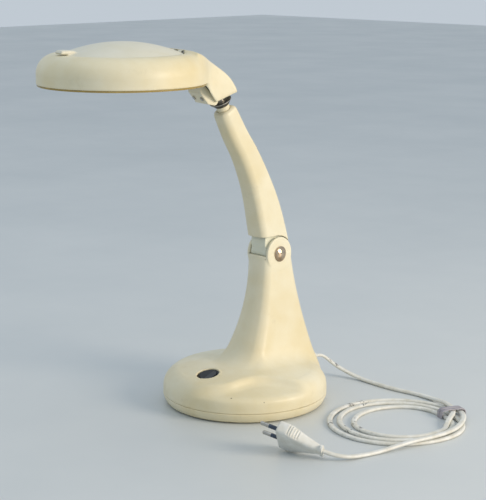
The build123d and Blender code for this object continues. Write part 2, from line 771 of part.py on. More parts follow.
tube_plane = Plane(origin=head_origin + Vector(0, 0, tube_height), x_dir=head_x, z_dir=(0, 0, 1))
with BuildPart() as ring_tube:
    start = radians(90 + tube_gap_angle / 2)
    section = Plane(origin=tube_plane.origin + head_x * (tube_ring_radius * cos(start)) + head_y * (tube_ring_radius * sin(start)),
                    x_dir=(0, 0, 1), z_dir=head_x * -sin(start) + head_y * cos(start))
    with BuildSketch(section):
        RegularPolygon(tube_radius, 12)
    revolve(axis=head_axis, revolution_arc=360 - tube_gap_angle)
save(ring_tube.part, "ring_tube")

# A cap bridges the tube's two ends, with the plug for its pins on the inner side
with BuildPart() as tube_socket:
    cap_angle = tube_gap_angle + 8
    start = radians(90 - cap_angle / 2)
    section = Plane(origin=tube_plane.origin, x_dir=head_x * cos(start) + head_y * sin(start),
                    z_dir=-(head_x * -sin(start) + head_y * cos(start)))
    with BuildSketch(section):
        with Locations((tube_ring_radius, 0)):
            RegularPolygon(tube_radius + 0.9, 12)
    revolve(axis=head_axis, revolution_arc=cap_angle)
    with BuildSketch(head_side.offset(-6)):
        with Locations((tube_ring_radius - tube_radius - 1.0, tube_height)):
            Rectangle(1.8, 11)
    extrude(amount=12)
    with BuildSketch(section):
        with Locations((tube_ring_radius, 0)):
            RegularPolygon(tube_radius + fit_gap, 12)
    revolve(axis=head_axis, revolution_arc=cap_angle, mode=Mode.SUBTRACT)
save(tube_socket.part, "tube_socket")

with BuildPart() as tube_clips:
    for angle in (-90, 30, 150):
        a = radians(angle)
        out = head_x * cos(a) + head_y * sin(a)
        clip_plane = Plane(origin=head_origin, x_dir=out, z_dir=Vector(0, 0, 1).cross(out) * -1)
        with BuildSketch(clip_plane.offset(-3)):
            with Locations((tube_ring_radius, tube_height)):
                Circle(tube_radius + 1.1)
                Circle(tube_radius + 0.2, mode=Mode.SUBTRACT)
            with Locations((tube_ring_radius, tube_height - 9)):
                Rectangle(30, 12, mode=Mode.SUBTRACT)
        extrude(amount=6)
save(tube_clips.part, "tube_clips")

# A clear ring closes the channel from below
with BuildPart() as tube_cover:
    add(head_ring((well_radius + 0.6, -cover_thickness), (ring_radius - 0.6, -cover_thickness), (ring_radius - 0.6, 0),
                  (ring_radius - head_wall - fit_gap, 0), (ring_radius - head_wall - fit_gap, 2.0),
                  (ring_radius - head_wall - 1.4, 2.0), (ring_radius - head_wall - 1.4, 0), (well_radius + 0.6, 0)))
    with BuildSketch(head_frame.offset(-10)):
        with Locations((0, ring_radius + 1)):
            Rectangle(2 * neck_half_width + 24, 17)
    extrude(amount=20, mode=Mode.SUBTRACT)
save(tube_cover.part, "tube_cover")

with BuildPart() as lens:
    with BuildSketch(head_side):
        low = lens_height
        high = lens_height + lens_edge
        out, down = cap_middle(lens_clear_radius, lens_bulge)
        Polygon(*arc_points((0, low - lens_bulge), (out, low - lens_bulge + down), (lens_clear_radius, low), 5),
                (lens_radius, low), (lens_radius, high),
                *arc_points((lens_clear_radius, high), (out, high + lens_bulge - down), (0, high + lens_bulge), 5),
                align=None)
    revolve(axis=head_axis)
save(lens.part, "lens")

with BuildPart() as lens_ring:
    low = lens_height + lens_edge
    add(head_ring((51.2, low), (well_radius - 0.05, low), (well_radius - 0.05, low + 3.5), (53.4, low + 3.5), (51.2, low + 1.4)))
save(lens_ring.part, "lens_ring")

# Plate that closes the neck from below and in front
cover_slope = Plane(origin=head_origin + head_y * 83.5 + Vector(0, 0, -19.25), x_dir=head_x,
                    z_dir=head_y * -10.5 + Vector(0, 0, -8.0))
with BuildPart() as neck_cover:
    with BuildSketch(head_side):
        Polygon((75.2, -0.3), (79.5, -14.0), (87.5, -24.5), (95.0, -26.2), (97.4, -25.4), (96.6, -23.2), (94.4, -23.8),
                (88.8, -22.2), (81.8, -13.0), (77.6, -0.3), align=None)
    extrude(amount=neck_half_width - neck_wall - 0.2, both=True)
    with BuildSketch(cover_slope.offset(5)):
        with Locations((-8, 0), (8, 0)):
            Circle(1.3)
    extrude(amount=-20, mode=Mode.SUBTRACT)
save(neck_cover.part, "neck_cover")

# Clamp block with a spherical seat, open below where the post swings
stud_lean = degrees(atan2(top_plane.z_dir.dot(head_y), top_plane.z_dir.Z))
tilt_side = Plane(origin=ball_centre, x_dir=head_y, z_dir=head_x)
with BuildPart() as ball_clamp:
    with BuildSketch(tilt_side.offset(-clamp_half)):
        with Locations((0, 3.0)):
            RectangleRounded(19.0, 13.0, 3)
    extrude(amount=2 * clamp_half)
    with BuildSketch(Plane(origin=ball_centre, x_dir=head_x, z_dir=(0, 0, 1))):
        seat_step = pi / 8
        seat_radius = (ball_radius + running_gap) / cos(seat_step / 2)
        Polygon(*[(seat_radius * cos(seat_step * i), seat_radius * sin(seat_step * i)) for i in range(9)], align=None)
    revolve(axis=Axis(ball_centre, head_x), mode=Mode.SUBTRACT)
    with BuildSketch(tilt_side.offset(-5.4)):
        a = radians(-stud_lean)
        wide = radians(36)
        Polygon((0, 0), (40 * sin(a - wide), -40 * cos(a - wide)), (40 * sin(a + wide), -40 * cos(a + wide)), align=None)
    extrude(amount=10.8, mode=Mode.SUBTRACT)
    with BuildSketch(tilt_side.offset(-clamp_half - 1)):
        Circle(tilt_pin_radius + running_gap)
    extrude(amount=2 * clamp_half + 2, mode=Mode.SUBTRACT)
save(ball_clamp.part, "ball_clamp")

with BuildPart() as head_screws:
    with BuildSketch(cover_slope.offset(0.05)):
        with Locations((-8, 0), (8, 0)):
            Circle(2.2)
    extrude(amount=1.0)
    with BuildSketch(cover_slope.offset(0.05)):
        with Locations((-8, 0), (8, 0)):
            Circle(1.2)
    extrude(amount=-7)
save(head_screws.part, "head_screws")

# Lid over the lens, hung on a pin across its rear edge, with a finger tab in front
lug_half = 4.0
with BuildPart() as lid:
    with BuildSketch(head_side):
        edge = lid_seat_height + 0.15
        high = lid_height - lid_thickness
        out, down = cap_middle(lid_radius, high - edge)
        top_arc = arc_points((0, lid_height), (out, lid_height - down), (lid_radius, edge + lid_thickness), 6)
        out, down = cap_middle(lid_radius - 3.2, high - edge)
        Polygon(*top_arc, (lid_radius, edge), *arc_points((lid_radius - 3.2, edge), (out, high - down), (0, high), 6),
                align=None)
    revolve(axis=head_axis)
    with BuildSketch(head_side.offset(-24)):
        with Locations((lid_pin_y + 3, lid_pin_height)):
            Rectangle(12, 30)
    extrude(amount=48, mode=Mode.SUBTRACT)
    for x in (-8.0, 8.0):
        with BuildSketch(head_side.offset(x - lug_half)):
            with Locations((lid_pin_y, lid_pin_height)):
                Circle(lid_barrel_radius)
            with Locations((lid_pin_y - 3.2, lid_pin_height - 1.0)):
                Rectangle(6.0, 2.0)
        extrude(amount=2 * lug_half)
    with BuildSketch(head_side.offset(-7)):
        with BuildLine():
            tip = crown_height + tab_height
            Polyline((-48.5, edge + 5.6), (-52.0, edge + 3.0), (-lid_radius + 0.5, edge + 0.4), (-lid_radius, crown_height + 0.4),
                     (-lid_radius - 5.6, crown_height + 0.6), (-lid_radius - 6.6, crown_height + 2.0),
                     (-lid_radius - 5.2, tip))
            ThreePointArc((-lid_radius - 5.2, tip), (-lid_radius + 1.5, tip - 0.2), (-48.5, edge + 5.6))
        make_face()
    extrude(amount=14)
    with BuildSketch(head_side.offset(-30)):
        with Locations((lid_pin_y, lid_pin_height)):
            Circle(lid_pin_radius + running_gap)
    extrude(amount=60, mode=Mode.SUBTRACT)
save(lid.part, "lid")

with BuildPart() as lid_hinge_pin:
    with BuildSketch(head_side.offset(-21.5)):
        with Locations((lid_pin_y, lid_pin_height)):
            Circle(lid_pin_radius)
    extrude(amount=43)
save(lid_hinge_pin.part, "lid_hinge_pin")

# Gland in the rear wall, then the cord: a lead to the table, three loops tied at one side, a tail to the plug
wall_y = base_radius - 0.5
gland_inner = wall_y - 6.6
gland_end = wall_y + gland_length
with BuildPart() as cord_gland:
    with BuildSketch(Plane.YZ):
        Polygon((gland_inner - 2.5, gland_height), (gland_inner - 2.5, gland_height + 6.5),
                (gland_inner, gland_height + 6.5), (gland_inner, gland_height + gland_radius),
                (wall_y + 1, gland_height + gland_radius), (gland_end, gland_height + gland_end_radius),
                (gland_end, gland_height), align=None)
    revolve(axis=Axis((0, 0, gland_height), (0, 1, 0)))
save(cord_gland.part, "cord_gland")

cord_low = cord_thickness / 2
lead_route = [
    (0, gland_end, gland_height), (0, gland_end + 8, gland_height), (3.2, 124, 21.2), (9.5, 128.6, 14.6),
    (19, 133.2, 9), (30.5, 136.5, 4.8), (44, 138, 2.3), (60, 137.5, 1.85), (80, 136.2, 1.85), (101, 137.4, 1.85),
    (122, 140.6, 1.85), (141, 138.8, 2.3), (157, 133.5, 4.3), (171, 127.5, 5.8), (184, 119.5, 5.9), (194.5, 107, 5.9),
    (201.2, 93, 5.9), (205.6, 84, 4.7), (209.4, 76.5, 2.5), (212.5, 70, 1.7), (212.5, 64, 1.7),
]
tail_route = [
    (170, 126, 1.7), (178, 126, 1.7), (191.5, 121.5, 4.7), (206, 110, 5.9), (218, 92, 5.9), (226, 71, 5.9),
    (227, 50, 5.9), (224.5, 31, 5.9), (219.5, 13, 5.7), (214.5, -6, 3.9), (210, -25, 2.0), (205, -44.5, 1.85),
    (201.3, -61.5, 3.4), (192.57, -72.66, 6.22), (183.5, -76.2, 8.5),
]


def cord_radii(route):
    """Each corner's arc: 0.45 of its shorter run over the tangent of half its turn."""
    points = [Vector(*p) for p in route]
    radii = []
    for a, b, c in zip(points, points[1:], points[2:]):
        turn_angle = radians((b - a).get_angle(c - b))
        radii.append(0.45 * min((b - a).length, (c - b).length) / tan(turn_angle / 2))
    return radii


def cord_piece(name, route):
    """A tube with eight flats, as thick as the cord, along a route that starts at the coil."""
    radii = cord_radii(route)
    with BuildPart() as form:
        with BuildLine() as path:
            FilletPolyline(*route, radius=radii)
        start = Vector(*route[1]) - Vector(*route[0])
        with BuildSketch(Plane(origin=route[0], x_dir=start.cross(Vector(0, 0, 1)), z_dir=start)):
            RegularPolygon(cord_low, 8, major_radius=False, rotation=22.5)
        sweep(path=path.wires()[0])
    length = path.wires()[0].length
    flats = 8 * tan(pi / 8) * cord_low ** 2
    print(name, "length", round(length, 1), "volume", round(form.part.volume / flats / length, 4),
          "low", round(form.part.bounding_box().min.Z, 3),
          "least radius", round(min(radii), 1), "radii", [round(r) for r in radii])
    save(form.part, name)
    return length


# Each loop runs right, front, left, back and widens by uneven steps
coil_middle = (164.0, 58.0)
coil_right = [212.5, 220.5, 230.5]
coil_front = [9.0, -3.0, -14.0]
coil_left = [121.0, 104.0, 95.0]
coil_back = [107.0, 116.0, 126.0]
coil_end_run = 6.0


def coil_arcs():
    """Two tangent arcs between each quarter point and the next."""
    middle_x, middle_y = coil_middle
    quarters = []
    for right, front, left, back in zip(coil_right, coil_front, coil_left, coil_back):
        quarters += [((right, middle_y), (0, -1)), ((middle_x, front), (-1, 0)), ((left, middle_y), (0, 1)),
                     ((middle_x, back), (1, 0))]
    arcs = []
    for (p0, t0), (p1, t1) in zip(quarters, quarters[1:]):
        p0, t0, p1, t1 = [Vector(*v, 0) for v in (p0, t0, p1, t1)]
        chord = p1 - p0
        along = chord.dot(t0 + t1)
        reach = ((along ** 2 + 2 * chord.dot(chord)) ** 0.5 - along) / 2
        joint = (p0 + t0 * reach + p1 - t1 * reach) * 0.5
        arcs.append((p0, joint, t0))
        arcs.append((joint, p1, (p1 - t1 * reach) - (p0 + t0 * reach)))
    return arcs


side = cord_width / 2
flat = side - 1.05
edge = cord_low - 0.95
cord_corners = [(1, side, edge), (1, flat, cord_low), (-1, flat, cord_low), (-1, side, edge), (-1, side, -edge),
                (-1, flat, -cord_low), (1, flat, -cord_low), (1, side, -edge)]
with BuildPart() as cord_coil:
    lift = Vector(0, 0, cord_low)
    with BuildLine() as coil_path:
        arcs = coil_arcs()
        first = arcs[0][0] + lift
        last = arcs[-1][1] + lift
        Line(first + Vector(0, coil_end_run, 0), first)
        for p, q, t in arcs:
            TangentArc(p + lift, q + lift, tangent=t)
        Line(last, last + Vector(coil_end_run, 0, 0))
    with BuildSketch(Plane(origin=coil_path.wires()[0] @ 0, x_dir=(1, 0, 0), z_dir=coil_path.wires()[0] % 0)):
        Polygon(*[(sign * x, z) for sign, x, z in cord_corners], align=None)
    sweep(path=coil_path.wires()[0])
save(cord_coil.part, "cord_coil")


def least_self_gap(wire, skip):
    """Smallest distance between a strand's side and its neighbour's, on points along the coil."""
    count = 400
    points = [wire @ (i / count) for i in range(count + 1)]
    step = wire.length / count
    apart = int(skip / step)
    nearest = min((p - q).length for i, p in enumerate(points) for q in points[i + apart:])
    return nearest - cord_width


coil_wire = coil_path.wires()[0]
print("cord_coil length", round(coil_wire.length, 1), "least gap to itself", round(least_self_gap(coil_wire, 100), 2))
lead_length = cord_piece("cord_lead", lead_route[::-1])
tail_length = cord_piece("cord_tail", tail_route)
print("whole cord", round(lead_length + tail_length + coil_wire.length, 1))

# Strap round the crossing strands, an arch with its feet on the table
tie_turn = radians(65.0)
tie_plane = Plane(origin=(189.0, 111.5, 0), x_dir=(cos(tie_turn), sin(tie_turn), 0),
                  z_dir=(sin(tie_turn), -cos(tie_turn), 0))
tie_half = 14.2
tie_height = 9.6
tie_thickness = 1.0
tie_width = 11.0
with BuildPart() as cord_tie:
    with BuildSketch(tie_plane.offset(-tie_width / 2)):
        with Locations((0, tie_height / 2)):
            RectangleRounded(2 * tie_half, tie_height, 2.4)
            RectangleRounded(2 * tie_half - 2 * tie_thickness, tie_height - 2 * tie_thickness, 1.6, mode=Mode.SUBTRACT)
        with Locations((0, 1.6)):
            Rectangle(2 * tie_half - 2 * tie_thickness, 3.2, mode=Mode.SUBTRACT)
    extrude(amount=tie_width)
save(cord_tie.part, "cord_tie")

# Two-pin plug that lies on its side at the end of the tail
plug_heading = 201.3
plug_pitch = 13.2
plug_roll = 48.2
plug_length = 45.5
plug_width = 36.0
plug_depth = 13.7
plug_straight = 10.0         # the part behind the face that keeps its full width
plug_rear_half = 5.2
pin_spacing = 18.6
pin_radius = 2.0
pin_core_radius = 1.6
pin_length = 19.0
pin_sleeve = 10.0
pin_root = 6.0
h, p, r = radians(plug_heading), radians(plug_pitch), radians(plug_roll)
plug_along = Vector(cos(h) * cos(p), sin(h) * cos(p), sin(p))
level = Vector(0, 0, 1).cross(plug_along).normalized()
plug_across = level * cos(r) + plug_along.cross(level) * sin(r)
plug_plane = Plane(origin=tail_route[-1], x_dir=plug_along, z_dir=plug_along.cross(plug_across))
plug_edge = Plane(origin=tail_route[-1], x_dir=plug_along, z_dir=plug_across * -1)
plug_face = Plane(origin=plug_plane.origin + plug_along * plug_length, x_dir=plug_across, z_dir=plug_along)
pin_places = [(-pin_spacing / 2, 0), (pin_spacing / 2, 0)]
with BuildPart() as plug_body:
    with BuildSketch(plug_plane):
        with BuildLine():
            half = plug_width / 2
            shoulder_x = plug_length - plug_straight
            Polyline((2.2, 0), (2.2, plug_rear_half), (shoulder_x - 10, half - 4.0))
            ThreePointArc((shoulder_x - 10, half - 4.0), (shoulder_x - 5, half - 1.2), (shoulder_x, half))
            Polyline((shoulder_x, half), (plug_length - 1.4, half), (plug_length, half - 1.4), (plug_length, 0))
            mirror(about=Plane.XZ)
        make_face()
    extrude(amount=plug_depth, both=True)
    with BuildSketch(plug_edge):
        deep = plug_depth / 2
        Polygon((0, 3.6), (2.2, 3.6), (shoulder_x - 4, deep), (plug_length - 1.2, deep), (plug_length, deep - 1.2),
                (plug_length, -deep + 1.2), (plug_length - 1.2, -deep), (shoulder_x - 4, -deep), (2.2, -3.6), (0, -3.6),
                align=None)
    extrude(amount=plug_width, both=True, mode=Mode.INTERSECT)
    grips = [shoulder_x - 1.5 - 2.4 * i for i in range(5)]
    for side in (-1, 1):
        with BuildSketch(plug_plane.offset(-plug_depth)):
            for x in grips:
                edge_half = half - 4.3 * ((shoulder_x - x) / 10) ** 2 if x > shoulder_x - 10 else half - 5.2
                with Locations((x, side * (edge_half + 0.6))):
                    Rectangle(1.1, 3.0)
        extrude(amount=2 * plug_depth, mode=Mode.SUBTRACT)
    with BuildSketch(Plane(origin=plug_plane.origin, x_dir=plug_across, z_dir=plug_along)):
        SlotOverall(17.0, 6.4)
    extrude(amount=2.2)
    with BuildSketch(plug_face):
        with Locations(*pin_places):
            Circle(pin_radius + 0.02)
    extrude(amount=-pin_root, mode=Mode.SUBTRACT)
save(plug_body.part, "plug_body")

with BuildPart() as plug_pins:
    with BuildSketch(plug_face.offset(-pin_root)):
        with Locations(*pin_places):
            Circle(pin_core_radius)
    extrude(amount=pin_root + pin_sleeve)
    with BuildSketch(plug_face.offset(pin_sleeve)):
        with Locations(*pin_places):
            Circle(pin_radius)
    extrude(amount=pin_length - pin_sleeve)
    tips = plug_pins.faces().filter_by(lambda f: plug_face.to_local_coords(f.center()).Z > pin_length - 0.01)
    chamfer(tips.edges(), 0.9)
save(plug_pins.part, "plug_pins")

with BuildPart() as plug_pin_sleeves:
    with BuildSketch(plug_face.offset(-pin_root)):
        with Locations(*pin_places):
            Circle(pin_radius)
            Circle(pin_core_radius + 0.01, mode=Mode.SUBTRACT)
    extrude(amount=pin_root + pin_sleeve)
save(plug_pin_sleeves.part, "plug_pin_sleeves")
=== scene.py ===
import json
import math
import bmesh
import bpy
import numpy as np
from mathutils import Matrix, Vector


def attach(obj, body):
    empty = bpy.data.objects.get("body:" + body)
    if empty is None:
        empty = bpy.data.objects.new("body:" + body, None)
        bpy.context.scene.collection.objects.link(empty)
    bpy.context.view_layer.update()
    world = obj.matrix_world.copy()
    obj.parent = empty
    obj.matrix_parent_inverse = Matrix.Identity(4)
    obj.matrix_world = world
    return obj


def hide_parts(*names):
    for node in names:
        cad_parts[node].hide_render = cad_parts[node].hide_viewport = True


# Magnifier lamp: the big mouldings are meshed from fields, in millimetres, and set down in metres

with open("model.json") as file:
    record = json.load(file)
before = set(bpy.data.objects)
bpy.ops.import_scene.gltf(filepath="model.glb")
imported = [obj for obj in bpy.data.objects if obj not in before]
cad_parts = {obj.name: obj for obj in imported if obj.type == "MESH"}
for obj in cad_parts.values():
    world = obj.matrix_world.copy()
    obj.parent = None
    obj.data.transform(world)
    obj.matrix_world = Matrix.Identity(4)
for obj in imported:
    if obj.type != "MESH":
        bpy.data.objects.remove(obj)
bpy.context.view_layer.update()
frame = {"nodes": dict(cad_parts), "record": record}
mm = 0.001


def srgb(red, green, blue):
    def lin(value):
        value = value / 255
        return value / 12.92 if value <= 0.04045 else ((value + 0.055) / 1.055) ** 2.4
    return (lin(red), lin(green), lin(blue), 1.0)


# Fields: negative inside, positive outside, points as rows of x, y, z

def smoothMin(a, b, soft):
    h = np.clip(0.5 + 0.5 * (b - a) / soft, 0, 1)
    return b + (a - b) * h - soft * h * (1 - h)


def smoothMax(a, b, soft):
    return -smoothMin(-a, -b, soft)


def between(value, low, high):
    return np.maximum(low - value, value - high)


def roundedBox(pastSide, pastFace, corner):
    u, v = pastSide + corner, pastFace + corner
    return np.hypot(np.maximum(u, 0), np.maximum(v, 0)) + np.minimum(np.maximum(u, v), 0) - corner


def aboutAxis(p, spot, up):
    rise = (p - spot) @ up
    return rise, np.linalg.norm((p - spot) - rise[:, None] * up, axis=1)


def leaning(degrees):
    angle = math.radians(degrees)
    return np.array([0, -math.sin(angle), math.cos(angle)])


def curveThrough(points, steps=12):
    pts = np.array(points, float)
    pts = np.vstack([2 * pts[0] - pts[1], pts, 2 * pts[-1] - pts[-2]])
    rows = []
    for a, b, c, d in zip(pts, pts[1:], pts[2:], pts[3:]):
        for t in np.arange(steps) / steps:
            rows.append(0.5 * (2 * b + (c - a) * t + (2 * a - 5 * b + 4 * c - d) * t * t
                               + (3 * b - a - 3 * c + d) * t ** 3))
    rows.append(pts[-2])
    return np.array(rows)


def polygonField(u, v, corners):
    best = np.full(u.shape, 1e9)
    sign = np.ones(u.shape)
    for (ax, ay), (bx, by) in zip(corners, np.roll(corners, -1, axis=0)):
        ex, ey = bx - ax, by - ay
        wx, wy = u - ax, v - ay
        t = np.clip((wx * ex + wy * ey) / (ex * ex + ey * ey), 0, 1)
        best = np.minimum(best, (wx - ex * t) ** 2 + (wy - ey * t) ** 2)
        up, down, turn = v >= ay, v < by, ex * wy > ey * wx
        sign = np.where((up & down & turn) | (~up & ~down & ~turn), -sign, sign)
    return sign * np.sqrt(best)


def slopes(field, pts, reach=0.05):
    grad = np.empty_like(pts)
    for axis in range(3):
        shift = np.zeros(3)
        shift[axis] = reach
        grad[:, axis] = (field(pts + shift) - field(pts - shift)) / (2 * reach)
    return grad


# Meshes: points in millimetres, in the frame or in a piece's own axes

def axesFrom(x, y, z, origin):
    return np.array([x, y, z], float).T, np.array(origin, float)


world = axesFrom((1, 0, 0), (0, 1, 0), (0, 0, 1), (0, 0, 0))


def meshFrom(name, points, faces):
    data = bpy.data.meshes.new(name)
    pts = np.asarray(points, float) * mm
    data.vertices.add(len(pts))
    data.vertices.foreach_set("co", pts.astype(np.float32).ravel())
    faces = np.asarray(faces, np.int32)
    size = faces.shape[1]
    data.loops.add(faces.size)
    data.loops.foreach_set("vertex_index", faces.ravel())
    data.polygons.add(len(faces))
    data.polygons.foreach_set("loop_start", np.arange(0, faces.size, size, dtype=np.int32))
    data.update(calc_edges=True)
    data.validate()
    data.shade_smooth()
    obj = bpy.data.objects.new(name, data)
    bpy.context.scene.collection.objects.link(obj)
    return obj


def cleaned(obj, sharp=35):
    bm = bmesh.new()
    bm.from_mesh(obj.data)
    bmesh.ops.remove_doubles(bm, verts=bm.verts, dist=1e-6)
    bmesh.ops.dissolve_degenerate(bm, edges=bm.edges, dist=1e-7)
    bmesh.ops.holes_fill(bm, edges=[e for e in bm.edges if e.is_boundary])
    bmesh.ops.recalc_face_normals(bm, faces=bm.faces)
    for edge in bm.edges:
        edge.smooth = not (len(edge.link_faces) == 2 and edge.calc_face_angle(0) > math.radians(sharp))
    for face in bm.faces:
        face.smooth = True
    bm.to_mesh(obj.data)
    bm.free()


cellCorners = [(i, j, k) for i in (0, 1) for j in (0, 1) for k in (0, 1)]


def sampled(field, low, high, step):
    count = np.ceil((high - low) / step).astype(int) + 1
    axes = [low[i] + step * np.arange(count[i]) for i in range(3)]
    value = np.empty(count)
    for i, x in enumerate(axes[0]):
        layer = np.stack(np.meshgrid([x], axes[1], axes[2], indexing="ij"), -1).reshape(-1, 3)
        value[i] = field(layer).reshape(count[1:])
    return np.where(value == 0, 1e-9, value)


def crossedCells(inside):
    size = np.array(inside.shape) - 1
    total = sum(inside[i:i + size[0], j:j + size[1], k:k + size[2]].astype(np.int8) for i, j, k in cellCorners)
    active = (total > 0) & (total < 8)
    cells = np.argwhere(active)
    index = np.full(size, -1)
    index[active] = np.arange(len(cells))
    return cells, index


def cellPoints(value, cells):
    # the middle of the places where the surface meets a cell's edges
    pts, hits = np.zeros((len(cells), 3)), np.zeros(len(cells))
    for corner in cellCorners:
        for axis in range(3):
            if corner[axis]:
                continue
            a, b = np.array(corner), np.array(corner)
            b[axis] = 1
            va, vb = value[tuple((cells + a).T)], value[tuple((cells + b).T)]
            cross = (va < 0) != (vb < 0)
            t = np.where(cross, va / np.where(cross, va - vb, 1), 0)
            pts += np.where(cross[:, None], a + t[:, None] * (b - a), 0)
            hits += cross
    return cells + pts / hits[:, None]


def pulledOnto(field, pts, step):
    for _ in range(3):
        grad = slopes(field, pts)
        size = np.maximum((grad ** 2).sum(1), 0.05)
        move = (field(pts) / size)[:, None] * grad
        length = np.maximum(np.linalg.norm(move, axis=1), 1e-9)
        pts = pts - move * np.minimum(1, 0.4 * step / length)[:, None]
    return pts


def cellQuads(inside, index):
    quads = []
    for axis, (u, v) in enumerate([(1, 2), (2, 0), (0, 1)]):
        first = np.take(inside, range(inside.shape[axis] - 1), axis)
        second = np.take(inside, range(1, inside.shape[axis]), axis)
        spots = np.argwhere(first != second)
        spots = spots[(spots[:, u] > 0) & (spots[:, v] > 0)
                      & (spots[:, u] < index.shape[u]) & (spots[:, v] < index.shape[v])]
        ring = []
        for du, dv in ((-1, -1), (0, -1), (0, 0), (-1, 0)):
            cell = spots.copy()
            cell[:, u] += du
            cell[:, v] += dv
            ring.append(index[tuple(cell.T)])
        ring = np.stack(ring, 1)
        outward = first[tuple(spots.T)]
        quads.append(np.where(outward[:, None], ring, ring[:, ::-1]))
    return np.vstack(quads)


def fieldMesh(name, field, low, high, step, place=world):
    low, high = np.array(low, float), np.array(high, float)
    value = sampled(field, low, high, step)
    cells, index = crossedCells(value < 0)
    pts = pulledOnto(field, low + step * cellPoints(value, cells), step)
    grad = slopes(field, pts)
    normals = grad / np.maximum(np.linalg.norm(grad, axis=1), 1e-9)[:, None]
    turn, origin = place
    obj = meshFrom(name, pts @ turn.T + origin, cellQuads(value < 0, index))
    obj.data.normals_split_custom_set_from_vertices([tuple(n) for n in normals @ turn.T])
    return obj


def stepOf(sizes):
    return sizes["step"]


def revolved(name, profile, segments, place, start=0.0, sweep=360.0):
    prof = np.array(profile, float)
    rings = segments if sweep >= 360 else segments + 1
    rows = []
    for a in np.radians(start + sweep * np.arange(rings) / segments):
        rows.append(np.stack([prof[:, 0] * math.cos(a), prof[:, 0] * math.sin(a), prof[:, 1]], 1))
    n, faces = len(prof), []
    for i in range(segments):
        here, there = i * n, (i + 1) % rings * n
        for j in range(n):
            k = (j + 1) % n
            faces.append((here + j, there + j, there + k, here + k))
    turn, origin = place
    obj = meshFrom(name, np.vstack(rows) @ turn.T + origin, faces)
    cleaned(obj)
    return obj


def lofted(name, rows, count, sharp):
    # closed sections of count points each, one after the other
    faces = [(i + j, i + (j + 1) % count, i + count + (j + 1) % count, i + count + j)
             for i in range(0, len(rows) - count, count) for j in range(count)]
    obj = meshFrom(name, rows, faces)
    cleaned(obj, sharp)
    return obj


def arc(start, middle, end, steps=10):
    (ax, ay), (bx, by), (cx, cy) = start, middle, end
    squares = ax ** 2 + ay ** 2, bx ** 2 + by ** 2, cx ** 2 + cy ** 2
    scale = 2 * (ax * (by - cy) + bx * (cy - ay) + cx * (ay - by))
    x = (squares[0] * (by - cy) + squares[1] * (cy - ay) + squares[2] * (ay - by)) / scale
    y = (squares[0] * (cx - bx) + squares[1] * (ax - cx) + squares[2] * (bx - ax)) / scale
    first = math.atan2(ay - y, ax - x)
    turn = (math.atan2(cy - y, cx - x) - first) % (2 * math.pi)
    if (math.atan2(by - y, bx - x) - first) % (2 * math.pi) > turn:
        turn -= 2 * math.pi
    radius = math.hypot(ax - x, ay - y)
    return [(x + radius * math.cos(first + turn * i / steps), y + radius * math.sin(first + turn * i / steps))
            for i in range(steps + 1)]


# Shader helpers

class Socket:
    def __init__(self, tree, out):
        self.tree, self.out = tree, out

    def math(self, operation, first, second):
        return node(self.tree, "ShaderNodeMath", 0, {0: first, 1: second}, operation=operation)

    def __add__(self, other):
        return self.math("ADD", self, other)

    def __mul__(self, other):
        return self.math("MULTIPLY", self, other)

    def __sub__(self, other):
        return self.math("SUBTRACT", self, other)

    def __rsub__(self, other):
        return self.math("SUBTRACT", other, self)

    __radd__ = __add__
    __rmul__ = __mul__

    def range(self, low, high, toLow=0.0, toHigh=1.0):
        return node(self.tree, "ShaderNodeMapRange", "Result",
                    {"Value": self, "From Min": low, "From Max": high, "To Min": toLow, "To Max": toHigh})


def node(tree, kind, output, inputs=None, **settings):
    made = tree.nodes.new(kind)
    for key, value in settings.items():
        setattr(made, key, value)
    for key, value in (inputs or {}).items():
        if isinstance(value, Socket):
            tree.links.new(value.out, made.inputs[key])
        else:
            made.inputs[key].default_value = value
    return Socket(tree, made.outputs[output])


def mixColour(tree, factor, a, b):
    # a Mix node keeps its colours in sockets 6 and 7 and its mixed colour in output 2
    return node(tree, "ShaderNodeMix", 2, {0: factor, 6: a, 7: b}, data_type="RGBA")


def noise(tree, spot, scale, detail=2.0, rough=0.5):
    return node(tree, "ShaderNodeTexNoise", 0,
                {"Vector": spot, "Scale": scale, "Detail": detail, "Roughness": rough})


def bump(tree, height, strength, distance):
    return node(tree, "ShaderNodeBump", "Normal",
                {"Height": height, "Strength": strength, "Distance": distance})


def material(name, build, **shader):
    made = bpy.data.materials.new(name)
    made.use_nodes = True
    tree = made.node_tree
    bsdf = tree.nodes["Principled BSDF"]
    for key, value in shader.items():
        bsdf.inputs[key.replace("_", " ")].default_value = value
    spot = node(tree, "ShaderNodeTexCoord", "Object")
    for key, value in build(tree, spot).items():
        tree.links.new(value.out, bsdf.inputs[key])
    return made


# Aged cream plastic: uneven yellowing, faint grime, small dark pits, a fine moulded grain

creamLook = {"fresh": srgb(233, 226, 200), "aged": srgb(222, 207, 164), "grime": srgb(150, 134, 98),
             "pit": srgb(84, 74, 56), "mottle": 9.0, "smear": 38.0, "pits": 70.0, "pitPatches": 21.0,
             "rub": 60.0, "grain": 950.0, "rough": 0.42, "yellowing": 1.0}
lidLook = {**creamLook, "fresh": srgb(228, 224, 207), "aged": srgb(214, 205, 174), "rough": 0.36,
           "yellowing": 0.7}
knuckleLook = {**creamLook, "fresh": srgb(228, 228, 208), "aged": srgb(216, 212, 182), "yellowing": 0.6}


